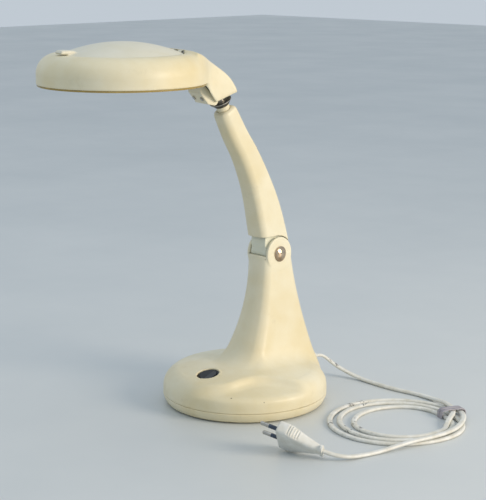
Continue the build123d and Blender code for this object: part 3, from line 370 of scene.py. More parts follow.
def creamBuild(look):
    def build(tree, spot):
        broad = noise(tree, spot, look["mottle"], 3.0, 0.55)
        patch = noise(tree, spot, look["mottle"] * 5, 4.0, 0.6)
        yellow = (broad * 0.7 + patch * 0.3).range(0.36, 0.68) * look["yellowing"]
        colour = mixColour(tree, yellow, look["fresh"], look["aged"])
        smear = noise(tree, spot, look["smear"], 6.0, 0.7)
        colour = mixColour(tree, smear.range(0.62, 0.8, 0.0, 0.22), colour, look["grime"])
        cells = node(tree, "ShaderNodeTexVoronoi", "Distance", {"Vector": spot, "Scale": look["pits"]})
        rare = noise(tree, spot, look["pitPatches"], 1.0)
        pit = cells.range(0.035, 0.075, 1.0, 0.0) * rare.range(0.6, 0.66)
        colour = mixColour(tree, pit * 0.8, colour, look["pit"])
        grain = noise(tree, spot, look["grain"], 2.0)
        rub = noise(tree, spot, look["rub"], 5.0, 0.65)
        rough = rub.range(0.3, 0.7, look["rough"] - 0.07, look["rough"] + 0.1)
        return {"Base Color": colour, "Roughness": rough, "Normal": bump(tree, grain - pit * 3.0, 0.1, 0.0003)}
    return build


def plainBuild(colour, other, scale=60.0, rough=(0.4, 0.5), grain=600.0, strength=0.1):
    def build(tree, spot):
        patch = noise(tree, spot, scale, 4.0, 0.6)
        return {"Base Color": mixColour(tree, patch.range(0.35, 0.7), colour, other),
                "Roughness": patch.range(0.3, 0.7, *rough),
                "Normal": bump(tree, noise(tree, spot, grain, 2.0), strength, 0.0002)}
    return build


def plain(name, colour, other, *pattern, **shader):
    return material(name, plainBuild(srgb(*colour), srgb(*other), *pattern), **shader)


cream = material("creamPlastic", creamBuild(creamLook), IOR=1.5)
creamLid = material("creamLid", creamBuild(lidLook), IOR=1.5)
clearGlass = plainBuild((1, 1, 1, 1), (0.98, 1, 0.99, 1), 20, (0.02, 0.04), 50, 0.0)
finishes = {
    "cream_shell": cream,
    "knuckle_plastic": material("knucklePlastic", creamBuild(knuckleLook), IOR=1.5),
    "felt_pad": plain("feltPad", (62, 60, 56), (84, 80, 74), 300, (0.9, 1.0), 1800, 0.4),
    "iron": plain("castIron", (70, 68, 66), (96, 78, 62), 90, (0.45, 0.7), 700, 0.3, Metallic=0.8),
    "copper_winding": plain("copperWinding", (176, 92, 52), (140, 66, 38), 200, (0.3, 0.45), Metallic=0.9),
    "black_plastic": plain("blackPlastic", (27, 28, 31), (38, 40, 44), 80, (0.3, 0.45), 900, 0.08),
    "grey_plastic": plain("greyPlastic", (150, 146, 140), (128, 124, 118), 120, (0.4, 0.5)),
    "bright_bolt": plain("brightBolt", (214, 192, 166), (176, 148, 118), 150, (0.12, 0.24), 400, 0.06,
                         Metallic=1.0),
    "steel": plain("steel", (190, 188, 182), (160, 154, 144), 140, (0.25, 0.4), Metallic=1.0),
    "white_reflector": plain("whiteReflector", (240, 240, 236), (226, 224, 214), 60, (0.3, 0.4)),
    "opal_glass": plain("opalTube", (246, 246, 242), (236, 234, 226), 60, (0.15, 0.25),
                        Emission_Color=(1, 1, 0.96, 1), Emission_Strength=0.05, Coat_Weight=0.6),
    "lens_glass": material("lensGlass", clearGlass, Transmission_Weight=1.0, IOR=1.5),
    "clear_plastic": plain("clearCover", (222, 196, 116), (206, 176, 96), 40, (0.18, 0.3), 500, 0.05,
                           Transmission_Weight=0.55, IOR=1.45),
    "cord_white": plain("cordWhite", (226, 226, 220), (206, 204, 192), 90, (0.35, 0.5), 900, 0.06),
    "tie_grey": plain("tieGrey", (164, 160, 166), (140, 136, 144), 160, (0.4, 0.55)),
    "sleeve_blue": plain("pinSleeve", (60, 74, 92), (48, 58, 74), 160, (0.35, 0.45)),
}
slotOf = {row["node"]: row["material_slot"] for row in frame["record"]["subparts"]}
for nodeName, nodeObject in frame["nodes"].items():
    nodeObject.data.materials.clear()
    nodeObject.data.materials.append(finishes[slotOf[nodeName]])
frame["nodes"]["arm_collar"].data.materials[0] = cream
print("materials done")


def placed(obj, body, slot, *standsFor, finish=None):
    obj.data.materials.clear()
    obj.data.materials.append(finish or finishes[slot])
    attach(obj, body)
    if standsFor:
        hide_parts(*standsFor)


# Base shell: dome, shallow tray behind an S-shaped ridge, column with its fork, switch seat

baseSizes = {"step": 1.3, "quickStep": 1.8, "wall": 2.6, "radius": 87.0, "shoulder": 21.0,
             "shoulderHigh": 15.9, "crown": 330.0, "crownDrop": 286.0, "bottom": 11.05, "bottomEdge": 0.8,
             "rim": 86.9, "ridgeSoft": 4.5}
traySizes = {"soft": 9.0, "low": 26.5, "tilt": 10.0, "edge": 84.0}
columnSizes = {"foot": 30.0, "flare": 15.0, "half": 15.6, "halfFlare": 15.4, "front": 16.7, "frontFlare": 38.3,
               "rear": 17.9, "rearFlare": 30.0, "corner": 4.0, "cornerFlare": 5.0, "frontBulge": 0.3,
               "rearBulge": 0.16, "hollowTop": 134.6, "thicker": 1.3}
forkSizes = {"slotHalf": 12.15, "slotLow": 154.5, "pocket": 17.5, "edge": 1.3, "bolt": 3.1}
switchSizes = {"rim": 13.2, "rimHigh": 1.0, "rimDeep": 3.0, "well": 11.65, "wellDeep": 1.55, "bore": 11.05,
               "boreDeep": 16.0}
postSizes = {"ring": 68.0, "radius": 4.5, "bore": 1.9, "boreTop": 24.0, "angles": (35, 145, 215, 325)}
glandSizes = {"bore": 4.95, "height": 26.0, "from": 60.0}
hingeY, hingeZ = 36.0, 155.0
switchAt, switchUp = np.array([0, -53, 37.6]), leaning(16)
ridge = curveThrough([(-30, -112), (8, -86), (26, -71), (36, -57), (40, -38), (45, -25), (58, -10), (90, 12),
                      (130, 36)])
ridgeSlope = np.gradient(ridge[:, 0], ridge[:, 1])


def domeField(p):
    r, z = np.hypot(p[:, 0], p[:, 1]), p[:, 2]
    bend, high, drop = baseSizes["shoulder"], baseSizes["shoulderHigh"], baseSizes["crownDrop"]
    ring = baseSizes["radius"] - bend
    shoulder = np.hypot(r - ring, z - high) - bend
    crown = np.hypot(r, z + drop) - baseSizes["crown"]
    top = np.where(r * (drop + high) > ring * (z + drop), shoulder, crown)
    return np.where(z < high, r - baseSizes["radius"], top)


def trayField(p):
    x, y, z = p.T
    slope = np.interp(y, ridge[:, 1], ridgeSlope)
    side = (np.interp(y, ridge[:, 1], ridge[:, 0]) - x) / np.sqrt(1 + slope ** 2)
    tilt = math.radians(traySizes["tilt"])
    floor = traySizes["low"] + math.tan(tilt) * (traySizes["edge"] - np.hypot(x, y)) - z
    return smoothMax(side, floor * round(math.cos(tilt), 3), traySizes["soft"])


def columnField(p):
    x, y, z = p.T
    col = columnSizes
    low = np.clip(1 - (z - col["foot"]) / (hingeZ - col["foot"]), 0, 1)
    half = col["half"] + col["halfFlare"] * low ** 2
    front = hingeY - col["front"] - col["frontFlare"] * low ** 2.3
    rear = hingeY + col["rear"] + col["rearFlare"] * low ** 1.15
    middle, deep = (front + rear) / 2, (rear - front) / 2
    across = np.clip(1 - (x / half) ** 2, 0, 1)
    ahead = np.clip((middle - y) / deep, -1, 1)
    bulge = np.where(ahead > 0, col["frontBulge"] * ahead, col["rearBulge"] * -ahead)
    depth = deep + half * across * bulge
    corner = col["corner"] + col["cornerFlare"] * low
    return smoothMax(roundedBox(np.abs(x) - half, np.abs(y - middle) - depth, corner), z - hingeZ, 1.0)


def baseOuter(p):
    x, y, z = p.T
    dome = smoothMax(domeField(p), -trayField(p), baseSizes["ridgeSoft"])
    body = smoothMin(dome, columnField(p), columnSizes["flare"])
    body = smoothMax(body, np.hypot(x, y) - baseSizes["rim"], 2.0)
    hinge = np.hypot(y - hingeY, z - hingeZ)
    ear = smoothMax(hinge - columnSizes["rear"], np.abs(x) - columnSizes["half"], 1.6)
    return smoothMin(body, ear, 1.5)


def baseField(p):
    x, y, z = p.T
    outer = baseOuter(p)
    seat = switchSizes
    rise, away = aboutAxis(p, switchAt, switchUp)
    rim = smoothMax(smoothMax(away - seat["rim"], rise - seat["rimHigh"], 1.6), -seat["rimDeep"] - rise, 1.0)
    body = smoothMin(outer, rim, 2.0)
    wall = baseSizes["wall"] + columnSizes["thicker"] * np.clip((z - 40) / 15, 0, 1)
    hollow = smoothMax(outer + wall, z - columnSizes["hollowTop"], 2.0)
    for angle in np.radians(postSizes["angles"]):
        post = np.hypot(x - postSizes["ring"] * math.cos(angle), y - postSizes["ring"] * math.sin(angle))
        hollow = np.maximum(hollow, postSizes["radius"] - post)
        body = np.maximum(body, np.where(z < postSizes["boreTop"], postSizes["bore"] - post, -9))
    body = np.maximum(body, -hollow)
    body = smoothMax(body, baseSizes["bottom"] - z, baseSizes["bottomEdge"])
    hinge = np.hypot(y - hingeY, z - hingeZ)
    pocket = np.minimum(forkSizes["slotLow"] - z, hinge - forkSizes["pocket"])
    slot = np.maximum(np.abs(x) - forkSizes["slotHalf"], pocket)
    body = smoothMax(body, -slot, forkSizes["edge"])
    body = np.maximum(body, forkSizes["bolt"] - hinge)
    well = np.maximum(away - seat["well"], -seat["wellDeep"] - rise)
    bore = np.maximum(away - seat["bore"], -seat["boreDeep"] - rise)
    body = smoothMax(body, -np.minimum(well, bore), 0.8)
    gland = np.hypot(x, z - glandSizes["height"]) - glandSizes["bore"]
    return np.maximum(body, -np.where(y > glandSizes["from"], gland, 9))


baseShell = fieldMesh("baseShell", baseField, (-89, -89, 9), (89, 89, 175.5), stepOf(baseSizes))
placed(baseShell, "base", "cream_shell", "base_top_shell")

panSizes = {"profile": [(0, 3.9), (0, 1.0), (80.4, 1.0), (82.6, 1.6), (83.9, 2.9), (85.9, 7.2), (86.5, 9.6),
                        (86.5, 10.6), (86.1, 10.95), (83.4, 10.95), (82.9, 10.4), (82.9, 4.4), (82.4, 3.9)]}
basePan = revolved("basePan", panSizes["profile"], 192, world)
placed(basePan, "base", "cream_shell", "base_bottom_pan")
print("base done")

# Arm: the section follows a bent centre line, split into a front shell and a rear cover

armSizes = {"step": 1.1, "quickStep": 1.8, "coverStep": 0.9, "wall": 2.4, "corner": 5.2, "rearCorner": 3.2,
            "bulge": 3.0, "seam": 1.9, "coverInset": 0.5, "topEdge": 6.0, "width": 28.5, "taper": 8.0,
            "taperFrom": 8.0, "taperRun": 148.0, "hingeGap": 18.95, "lip": 20.0, "lipDrop": 0.8, "foot": 7.5,
            "studBore": 6.9, "studDeep": 12.0}
# each row: rise above the hinge, reach ahead of it, lean in degrees, depth
armSections = np.array([(8, -0.2, 10, 34.5), (37.5, 7.4, 14, 32.4), (61, 14.6, 18.8, 28.8),
                        (84.6, 24.2, 23, 24.8), (109.8, 37.2, 27, 21.8), (131, 50.9, 29, 20.2),
                        (158, 65.8, 30, 18)], float)
armLine = curveThrough(armSections, 14)
armY, armZ = hingeY - armLine[:, 1], hingeZ + armLine[:, 0]
armLean, armDepth = np.radians(armLine[:, 2]), armLine[:, 3]
armLoss = armSizes["taper"] * (armLine[:, 0] - armSizes["taperFrom"]) / armSizes["taperRun"]
armHalf = (armSizes["width"] - armLoss) / 2
armTop, armTopUp, swivelUp = np.array([0, -30, 311.5]), np.array([0, -0.5, 0.866]), leaning(27)


def armLocal(p):
    x, y, z = p.T
    best, run = np.full(len(x), 1e9), np.zeros(len(x))
    for i, lean in enumerate(armLean):
        gap = (y - armY[i]) * -math.sin(lean) + (z - armZ[i]) * math.cos(lean)
        closer = np.abs(gap) < best
        best = np.where(closer, np.abs(gap), best)
        run = np.where(closer, i + np.clip(gap / 2.2, -0.5, 0.5), run)
    steps = np.arange(len(armY))
    spot = np.clip(run, 0, len(armY) - 1)
    values = (armY, armZ, armLean, armDepth, armHalf)
    cy, cz, lean, depthAt, halfAt = [np.interp(spot, steps, value) for value in values]
    back = (y - cy) * np.cos(lean) + (z - cz) * np.sin(lean)
    return back, depthAt, halfAt


def armOuter(p, inset=0.0):
    back, depthAt, halfAt = armLocal(p)
    x = p[:, 0]
    swell = armSizes["bulge"] * np.clip(1 - (x / halfAt) ** 2, 0, 1)
    front, rear = depthAt / 2 + swell, depthAt / 2
    pastFace = np.where(back < 0, -back - front, back - rear) + inset
    corner = np.where(back < 0, armSizes["corner"], armSizes["rearCorner"])
    box = roundedBox(np.abs(x) - halfAt + inset, pastFace, corner)
    box = smoothMax(box, (p - armTop) @ armTopUp - 0.6, armSizes["topEdge"])
    return box, back, depthAt


def armCuts(p, body):
    y, z = p[:, 1] - hingeY, p[:, 2] - hingeZ
    size = armSizes["lip"]
    lip = np.maximum(np.abs(y + size) - size, np.abs(z + armSizes["lipDrop"]) - size)
    body = smoothMax(body, armSizes["hingeGap"] - np.hypot(y, z), 0.8)
    body = smoothMax(body, -lip, 0.8)
    body = np.maximum(body, armSizes["foot"] - z)
    rise, away = aboutAxis(p, armTop, swivelUp)
    return smoothMax(body, -np.maximum(away - armSizes["studBore"], -armSizes["studDeep"] - rise), 0.6)


def armFront(p):
    box, back, depthAt = armOuter(p)
    shell = np.maximum(box, -(box + armSizes["wall"]))
    return armCuts(p, smoothMax(shell, back - depthAt / 2 + armSizes["seam"], 0.5))


def armRear(p):
    box, back, depthAt = armOuter(p, armSizes["coverInset"])
    return armCuts(p, smoothMax(box, depthAt / 2 - armSizes["seam"] + 0.05 - back, 0.5))


armLow, armHigh = (-16, -44, 160), (16, 62, 318)
armShell = fieldMesh("armShell", armFront, armLow, armHigh, stepOf(armSizes))
placed(armShell, "arm", "cream_shell", "arm_front_shell")
armCover = fieldMesh("armCover", armRear, armLow, armHigh, armSizes["coverStep"])
placed(armCover, "arm", "cream_shell", "arm_rear_cover")

knuckleSizes = {"step": 0.9, "quickStep": 1.5, "drum": 16.4, "drumHalf": 11.1, "tangHalf": 10.4, "edge": 0.8,
                "bolt": 3.1, "bore": 5.35, "boreDeep": 9.0}
tangFront = curveThrough([(-16.3, 0), (-16.4, 4), (-16.1, 6.4), (-16.6, 9), (-16.9, 12.5), (-16.6, 16),
                          (-15.9, 19)], 4)
tangSide = np.vstack([tangFront, [(-14.5, 28), (5.5, 33), (10.6, 22), (12, 11), (0, 0)]])
boreAt, boreUp = np.array([0, 30.1, 186.5]), leaning(14)


def knuckleField(p):
    x, y, z = p[:, 0], p[:, 1] - hingeY, p[:, 2] - hingeZ
    hinge = np.hypot(y, z)
    edge = knuckleSizes["edge"]
    drum = smoothMax(hinge - knuckleSizes["drum"], np.abs(x) - knuckleSizes["drumHalf"], edge)
    tang = smoothMax(polygonField(y, z, tangSide), np.abs(x) - knuckleSizes["tangHalf"], edge)
    body = np.maximum(smoothMin(drum, tang, 1.0), knuckleSizes["bolt"] - hinge)
    rise, away = aboutAxis(p, boreAt, boreUp)
    return np.maximum(body, -np.maximum(away - knuckleSizes["bore"], -knuckleSizes["boreDeep"] - rise))


armKnuckle = fieldMesh("armKnuckle", knuckleField, (-13, 17, 137), (13, 54, 190), stepOf(knuckleSizes))
placed(armKnuckle, "arm", "knuckle_plastic", "arm_knuckle")
print("arm done")

# Head shell, in the head's own frame: x right, y back to the neck, z up from the rim

headSizes = {"step": 1.25, "quickStep": 1.8, "wall": 2.4, "radius": 82.0, "shoulderRing": 62.86,
             "shoulderHigh": 9.56, "shoulder": 19.15, "top": 28.71, "rimEdge": 0.9, "neckBlend": 9.0,
             "neckEdge": 3.4, "well": 55.0, "wellOuter": 57.4, "wellTop": 20.2, "troughTop": 22.5,
             "ledge": (50.5, 56.0),
             "ledgeHigh": (5.5, 8.0), "lidSeat": 60.45, "lidSeatHigh": 25.0}
pinSizes = {"y": 60.2, "height": 27.4, "bore": 1.15, "boreHalf": 21.7, "barrel": 2.85, "barrelHalf": 20.0}
turnAngle = math.radians(13)
headX = (math.cos(turnAngle), -math.sin(turnAngle), 0)
headY = (math.sin(turnAngle), math.cos(turnAngle), 0)
head = axesFrom(headX, headY, (0, 0, 1), (-23.62, -141.389, 343.32))
neckSteps = 6
neckTop = curveThrough([(58, 27.5), (74, 22.4), (88, 17.6), (101, 10.2), (112, 1.4), (119, -8.5), (121, -14)],
                       neckSteps)
neckPlan = curveThrough([(40, 58), (58, 46), (80, 27), (94, 17.3), (108, 15.5), (130, 15.5)], 8)


def neckField(p, inset=0.0, low=0.0, skipped=0):
    x, y, h = p.T
    top = neckTop[skipped * neckSteps:] + (-0.6 * inset, -inset)
    corners = np.vstack([top, [(95.6 - 2 * inset, -23.3 - low), (73 - 2 * inset, -low), (top[0, 0], -low)]])
    plan = (np.abs(x) - np.interp(y, neckPlan[:, 0], neckPlan[:, 1]) + inset) * 0.85
    return smoothMax(polygonField(y, h, corners), plan, headSizes["neckEdge"])


def ringOuter(r, h):
    ring, high = headSizes["shoulderRing"], headSizes["shoulderHigh"]
    shoulder = np.hypot(r - ring, h - high) - headSizes["shoulder"]
    return np.where(h < high, r - headSizes["radius"], np.where(r > ring, shoulder, h - headSizes["top"]))


def headField(p):
    x, y, h = p.T
    r = np.hypot(x, y)
    size = headSizes
    outer = smoothMax(ringOuter(r, h), -h, size["rimEdge"])
    body = smoothMin(outer, neckField(p), size["neckBlend"])
    inside = ringOuter(r, h) + size["wall"]
    trough = np.maximum(np.maximum(inside, size["wellOuter"] - r), h - size["troughTop"])
    body = smoothMax(body, -trough, 0.6)
    body = smoothMax(body, -neckField(p, size["wall"], 12, 1), 1.0)
    body = np.maximum(body, size["well"] - r)
    ledge = np.maximum(between(r, *size["ledge"]), between(h, *size["ledgeHigh"]))
    wellWall = np.maximum(between(r, size["well"], size["wellOuter"]), between(h, 0, size["wellTop"]))
    body = np.minimum(body, np.minimum(ledge, wellWall))
    body = smoothMax(body, -np.maximum(r - size["lidSeat"], size["lidSeatHigh"] - h), 0.8)
    pin = np.hypot(y - pinSizes["y"], h - pinSizes["height"])
    slot = np.maximum(np.abs(y - pinSizes["y"] + 3) - 5, pinSizes["height"] - h)
    recess = np.maximum(np.minimum(pin - pinSizes["barrel"], slot), np.abs(x) - pinSizes["barrelHalf"])
    body = np.maximum(body, -recess)
    return np.maximum(body, -np.maximum(pin - pinSizes["bore"], np.abs(x) - pinSizes["boreHalf"]))


headShell = fieldMesh("headShell", headField, (-84, -84, -25.5), (84, 124, 31), stepOf(headSizes), head)
placed(headShell, "head", "cream_shell", "head_shell")

# Neck cover: a dark plate below the neck with side returns that slip between the neck's walls

coverSizes = {"step": 0.8, "quickStep": 1.2, "half": 12.85, "thick": 1.7, "edge": 0.8, "screwBore": 1.32,
              "screwAt": (8.0, 83.5, -19.25), "slope": (8.0, -10.5, 13.2)}
coverLow = [(75.2, -0.3), (79.5, -14), (87.5, -24.5), (95, -26.2), (97.4, -25.4)]
returnSide = np.array(coverLow + [(99.2, -22.6), (90.5, -13.2), (79.8, -0.3)])
plateSide = np.array(coverLow + [(96.6, -23.2), (94.4, -23.8), (88.8, -22.2), (81.8, -13), (77.6, -0.3)])


def coverField(p):
    x, y, h = p.T
    returns = np.maximum(polygonField(y, h, returnSide), coverSizes["half"] - coverSizes["thick"] - np.abs(x))
    plate = np.minimum(polygonField(y, h, plateSide), returns)
    body = smoothMax(plate, np.abs(x) - coverSizes["half"], coverSizes["edge"])
    screwX, screwY, screwH = coverSizes["screwAt"]
    ahead, down, length = coverSizes["slope"]
    along = (y - screwY) * ahead / length + (h - screwH) * down / length
    return np.maximum(body, coverSizes["screwBore"] - np.hypot(np.abs(x) - screwX, along))


neckCover = fieldMesh("neckCover", coverField, (-14, 74, -27.5), (14, 101, 1), stepOf(coverSizes), head)
placed(neckCover, "head", slotOf["neck_cover"], "neck_cover")

# Lid: a thin dome with a finger tab in front and two lugs on the hinge pin

lidSizes = {"step": 1.0, "quickStep": 1.6, "edge": 1.6, "radius": 59.8, "low": 25.15, "dome": 150.96,
            "top": 39.5, "innerRadius": 56.6, "innerDome": 135.9, "innerTop": 37.5, "tabHalf": 7.0,
            "backLine": 57.2,
            "backHalf": 24.0, "lug": 2.2, "lugAt": 8.0, "lugHalf": 4.0}
tabSide = np.array([(-48.5, 30.75), (-52, 28.15), (-59.3, 25.55), (-59.8, 29.4), (-65.4, 29.6), (-66.4, 31),
                    (-65, 33.2), (-58.3, 33.3), (-53, 33.0)])


def lidField(p):
    x, y, h = p.T
    r = np.hypot(x, y)
    size = lidSizes
    outer = np.hypot(r, h + size["dome"] - size["top"]) - size["dome"]
    inner = np.hypot(r, h + size["innerDome"] - size["innerTop"]) - size["innerDome"]
    dome = smoothMax(smoothMax(outer, r - size["radius"], size["edge"]), size["low"] - h, 0.8)
    body = np.maximum(dome, -np.maximum(inner, r - size["innerRadius"]))
    tab = smoothMax(polygonField(y, h, tabSide), np.abs(x) - size["tabHalf"], size["edge"])
    body = smoothMin(body, tab, 1.5)
    body = np.maximum(body, -np.maximum(size["backLine"] - y, np.abs(x) - size["backHalf"]))
    pin = np.hypot(y - pinSizes["y"], h - pinSizes["height"])
    web = np.maximum(np.abs(y - 57) - 3, np.abs(h - 26.4) - 1)
    lug = np.maximum(np.minimum(pin - size["lug"], web), np.abs(np.abs(x) - size["lugAt"]) - size["lugHalf"])
    return np.maximum(np.minimum(body, lug), pinSizes["bore"] - pin)


lidDome = fieldMesh("lidDome", lidField, (-61, -68, 23.5), (61, 64, 41), stepOf(lidSizes), head)
placed(lidDome, "lid", "cream_shell", "lid", finish=creamLid)

lensSizes = {"clear": 50.3, "edge": 54.2, "low": 8.0, "high": 11.0, "bulge": 4.2, "midRing": 25.3,
             "midBulge": 3.14}
lensMid, lensLowZ, lensHighZ = lensSizes["midRing"], lensSizes["low"], lensSizes["high"]
lensTop = arc((lensSizes["clear"], lensHighZ), (lensMid, lensHighZ + lensSizes["midBulge"]),
              (0, lensHighZ + lensSizes["bulge"]), 18)
lensLow = arc((0, lensLowZ - lensSizes["bulge"]), (lensMid, lensLowZ - lensSizes["midBulge"]),
              (lensSizes["clear"], lensLowZ), 18)
lensEdge = [(lensSizes["edge"], lensLowZ), (lensSizes["edge"], lensHighZ)]
lensGlass = revolved("lensGlass", [*lensLow, *lensEdge, *lensTop], 128, head)
placed(lensGlass, "head", "lens_glass", "lens")

tubeSizes = {"ring": 68.5, "radius": 7.7, "height": 11.0, "start": 99.0, "sweep": 342.0}
tubeRound = [(tubeSizes["ring"] + tubeSizes["radius"] * math.cos(a),
              tubeSizes["height"] + tubeSizes["radius"] * math.sin(a))
             for a in np.linspace(0, 2 * math.pi, 28, endpoint=False)]
ringTube = revolved("ringTube", tubeRound, 150, head, tubeSizes["start"], tubeSizes["sweep"])
placed(ringTube, "head", "opal_glass", "ring_tube")
print("head done")

# Turned parts at the joints: profiles of radius and height

hingeSide = axesFrom((0, 1, 0), (0, 0, 1), (1, 0, 0), (0, hingeY, hingeZ))
armEnd = axesFrom((1, 0, 0), np.cross(swivelUp, (1, 0, 0)), swivelUp, armTop)
boltDome = arc((8.2, 16.65), (4.4, 18.8), (0, 19.7), 10)
boltProfile = [(0, -16.8), (3.0, -16.8), (3.0, 15.85), (8.0, 15.85), (8.2, 16.1), *boltDome[:-1], (0, 19.7)]
cupProfile = [(3.1, 4.55), (7.3, 4.55), (7.7, 4.9), (9.9, 7.6), (10.8, 8.5), (11.0, 8.95), (3.1, 8.95)]
flangeProfile = [(3.1, 9.06), (11.3, 9.06), (11.5, 9.25), (11.5, 9.8), (11.3, 9.98), (3.1, 9.98)]
turnedParts = [("pivotBolt", boltProfile, hingeSide, "base", "bright_bolt", "pivot_bolt"),
               ("swivelCup", cupProfile, armEnd, "arm", "black_plastic", "swivel_cup"),
               ("swivelFlange", flangeProfile, armEnd, "swivel", slotOf["swivel_flange"], "swivel_flange")]
for pieceName, profile, place, body, slot, standsFor in turnedParts:
    placed(revolved(pieceName, profile, 72, place), body, slot, standsFor)
print("joints done")

# Cord, a flat twin: one spline through the lead, three loops and the tail

cordSizes = {"width": 5.6, "thick": 3.4, "floor": 1.72}
lead = [(0, 108.5, 26), (0, 116.5, 26), (3.2, 124, 21.2), (9.5, 128.6, 14.6), (19, 133.2, 9),
        (30.5, 136.5, 4.8), (44, 138, 2.3), (60, 137.5, 1.85), (80, 136.2, 1.85), (101, 137.4, 1.85),
        (122, 140.6, 1.85), (141, 138.8, 2.3), (157, 133.5, 4.3), (171, 127.5, 5.8),
        (184, 119.5, 5.9), (194.5, 107, 5.9),
        (201.2, 93, 5.9), (205.6, 84, 4.7), (209.4, 76.5, 2.5), (212.5, 70, 1.72), (212.5, 64, 1.72)]
tail = [(170, 126, 1.72), (178, 126, 1.72), (191.5, 121.5, 4.7), (206, 110, 5.9), (218, 92, 5.9),
        (226, 71, 5.9), (227, 50, 5.9), (224.5, 31, 5.9), (219.5, 13, 5.7), (214.5, -6, 3.9), (210, -25, 2.0),
        (205, -44.5, 1.85), (201.3, -61.5, 3.4), (192.57, -72.66, 6.22), (183.5, -76.2, 8.5)]
# each loop: its right, front, left and back ends, about a middle at x 164, y 58
loops = [(212.5, 9.0, 121.0, 107.0), (220.5, -3.0, 104.0, 116.0), (230.5, -14.0, 95.0, 126.0)]
loopMiddle, arcSteps = (164, 58), 4


def arcPoints(start, end, toward):
    toward = toward / np.linalg.norm(toward)
    normal = np.array([-toward[1], toward[0]])
    chord = end - start
    radius = (chord @ chord) / (2 * (chord @ normal))
    centre = start + normal * radius
    first, last = [math.atan2(*(v - centre)[::-1]) for v in (start, end)]
    turn = (last - first) % (2 * math.pi)
    turn = turn if radius > 0 else turn - 2 * math.pi
    angles = [first + turn * i / arcSteps for i in range(arcSteps)]
    spots = [centre + abs(radius) * np.array([math.cos(s), math.sin(s)]) for s in angles]
    return [(*spot, cordSizes["floor"]) for spot in spots]


def coilPoints():
    x, y = loopMiddle
    quarters = []
    for right, front, left, back in loops:
        quarters += [((right, y), (0, -1)), ((x, front), (-1, 0)), ((left, y), (0, 1)), ((x, back), (1, 0))]
    rows = []
    for (start, leave), (end, arrive) in zip(quarters, quarters[1:]):
        start, leave, end, arrive = [np.array(v, float) for v in (start, leave, end, arrive)]
        chord = end - start
        along = chord @ (leave + arrive)
        reach = (math.sqrt(along ** 2 + 2 * chord @ chord) - along) / 2
        a, b = start + leave * reach, end - arrive * reach
        joint = (a + b) / 2
        rows += arcPoints(start, joint, leave) + arcPoints(joint, end, b - a)
    rows.append((*quarters[-1][0], cordSizes["floor"]))
    return rows


route = lead + coilPoints() + tail
curveData = bpy.data.curves.new("cordLine", "CURVE")
curveData.dimensions = "3D"
spline = curveData.splines.new("NURBS")
spline.points.add(len(route) - 1)
for point, spot in zip(spline.points, route):
    point.co = (*[v * mm for v in spot], 1)
spline.order_u = 3
spline.use_endpoint_u = True
spline.resolution_u = 6
curveObject = bpy.data.objects.new("cordLine", curveData)
bpy.context.scene.collection.objects.link(curveObject)
bpy.context.view_layer.update()
lineMesh = bpy.data.meshes.new_from_object(curveObject.evaluated_get(bpy.context.evaluated_depsgraph_get()))
line = np.array([v.co for v in lineMesh.vertices], float) * 1000
bpy.data.objects.remove(curveObject)


def cordSection():
    # two round cores side by side with a shallow groove between them
    core = cordSizes["thick"] / 2
    offset = cordSizes["width"] / 2 - core
    rows = []
    for sign in (1, -1):
        for a in np.radians(np.linspace(-100, 100, 11)):
            rows.append((sign * (offset + core * math.cos(a)), sign * core * math.sin(a)))
    return np.array(rows)


def sweptAlong(name, path, section):
    tangent = np.gradient(path, axis=0)
    tangent /= np.linalg.norm(tangent, axis=1)[:, None]
    rows = []
    for p, t in zip(path, tangent):
        across = np.cross(t, (0, 0, 1))
        across /= np.linalg.norm(across)
        rows.append(p + section[:, :1] * across + section[:, 1:] * np.cross(across, t))
    return lofted(name, np.vstack(rows), len(section), 60)


def cordBuild(tree, spot):
    patch = noise(tree, spot, 90.0, 4.0, 0.6)
    colour = mixColour(tree, patch.range(0.35, 0.7), srgb(228, 228, 222), srgb(208, 205, 192))
    marks = noise(tree, spot, 150.0, 3.0, 0.7)
    near = node(tree, "ShaderNodeSeparateXYZ", "Y", {"Vector": spot})
    where = noise(tree, spot, 11.0, 1.0)
    scuff = marks.range(0.56, 0.62) * where.range(0.54, 0.62) * near.range(-0.02, 0.0)
    colour = mixColour(tree, scuff * 0.85, colour, srgb(70, 66, 62))
    return {"Base Color": colour, "Roughness": patch.range(0.3, 0.7, 0.34, 0.5),
            "Normal": bump(tree, noise(tree, spot, 900.0), 0.06, 0.0002)}


cordPiece = sweptAlong("cord", line, cordSection())
placed(cordPiece, "base", "cord_white", "cord_lead", "cord_coil", "cord_tail",
       finish=material("cordScuffed", cordBuild))

# Tie: two turns of a soft strap over the crossing strands, its feet on the table

tieSizes = {"at": (189.0, 111.5), "turn": 65.0, "half": 13.7, "high": 9.05, "foot": 0.1, "squareness": 0.42,
            "thick": 0.9, "width": 4.9, "apart": 2.85}
tieTurn = math.radians(tieSizes["turn"])
tieAcross = np.array([math.cos(tieTurn), math.sin(tieTurn), 0])
tieAlong = np.array([math.sin(tieTurn), -math.cos(tieTurn), 0])
tieOver = []
for a in np.linspace(0, math.pi, 33):
    c, s = math.cos(a), math.sin(a)
    tieOver.append((tieSizes["half"] * math.copysign(abs(c) ** tieSizes["squareness"], c),
                    tieSizes["foot"] + (tieSizes["high"] - tieSizes["foot"]) * s ** tieSizes["squareness"]))
tieOver[0], tieOver[-1] = (tieSizes["half"], 0.05), (-tieSizes["half"], 0.05)


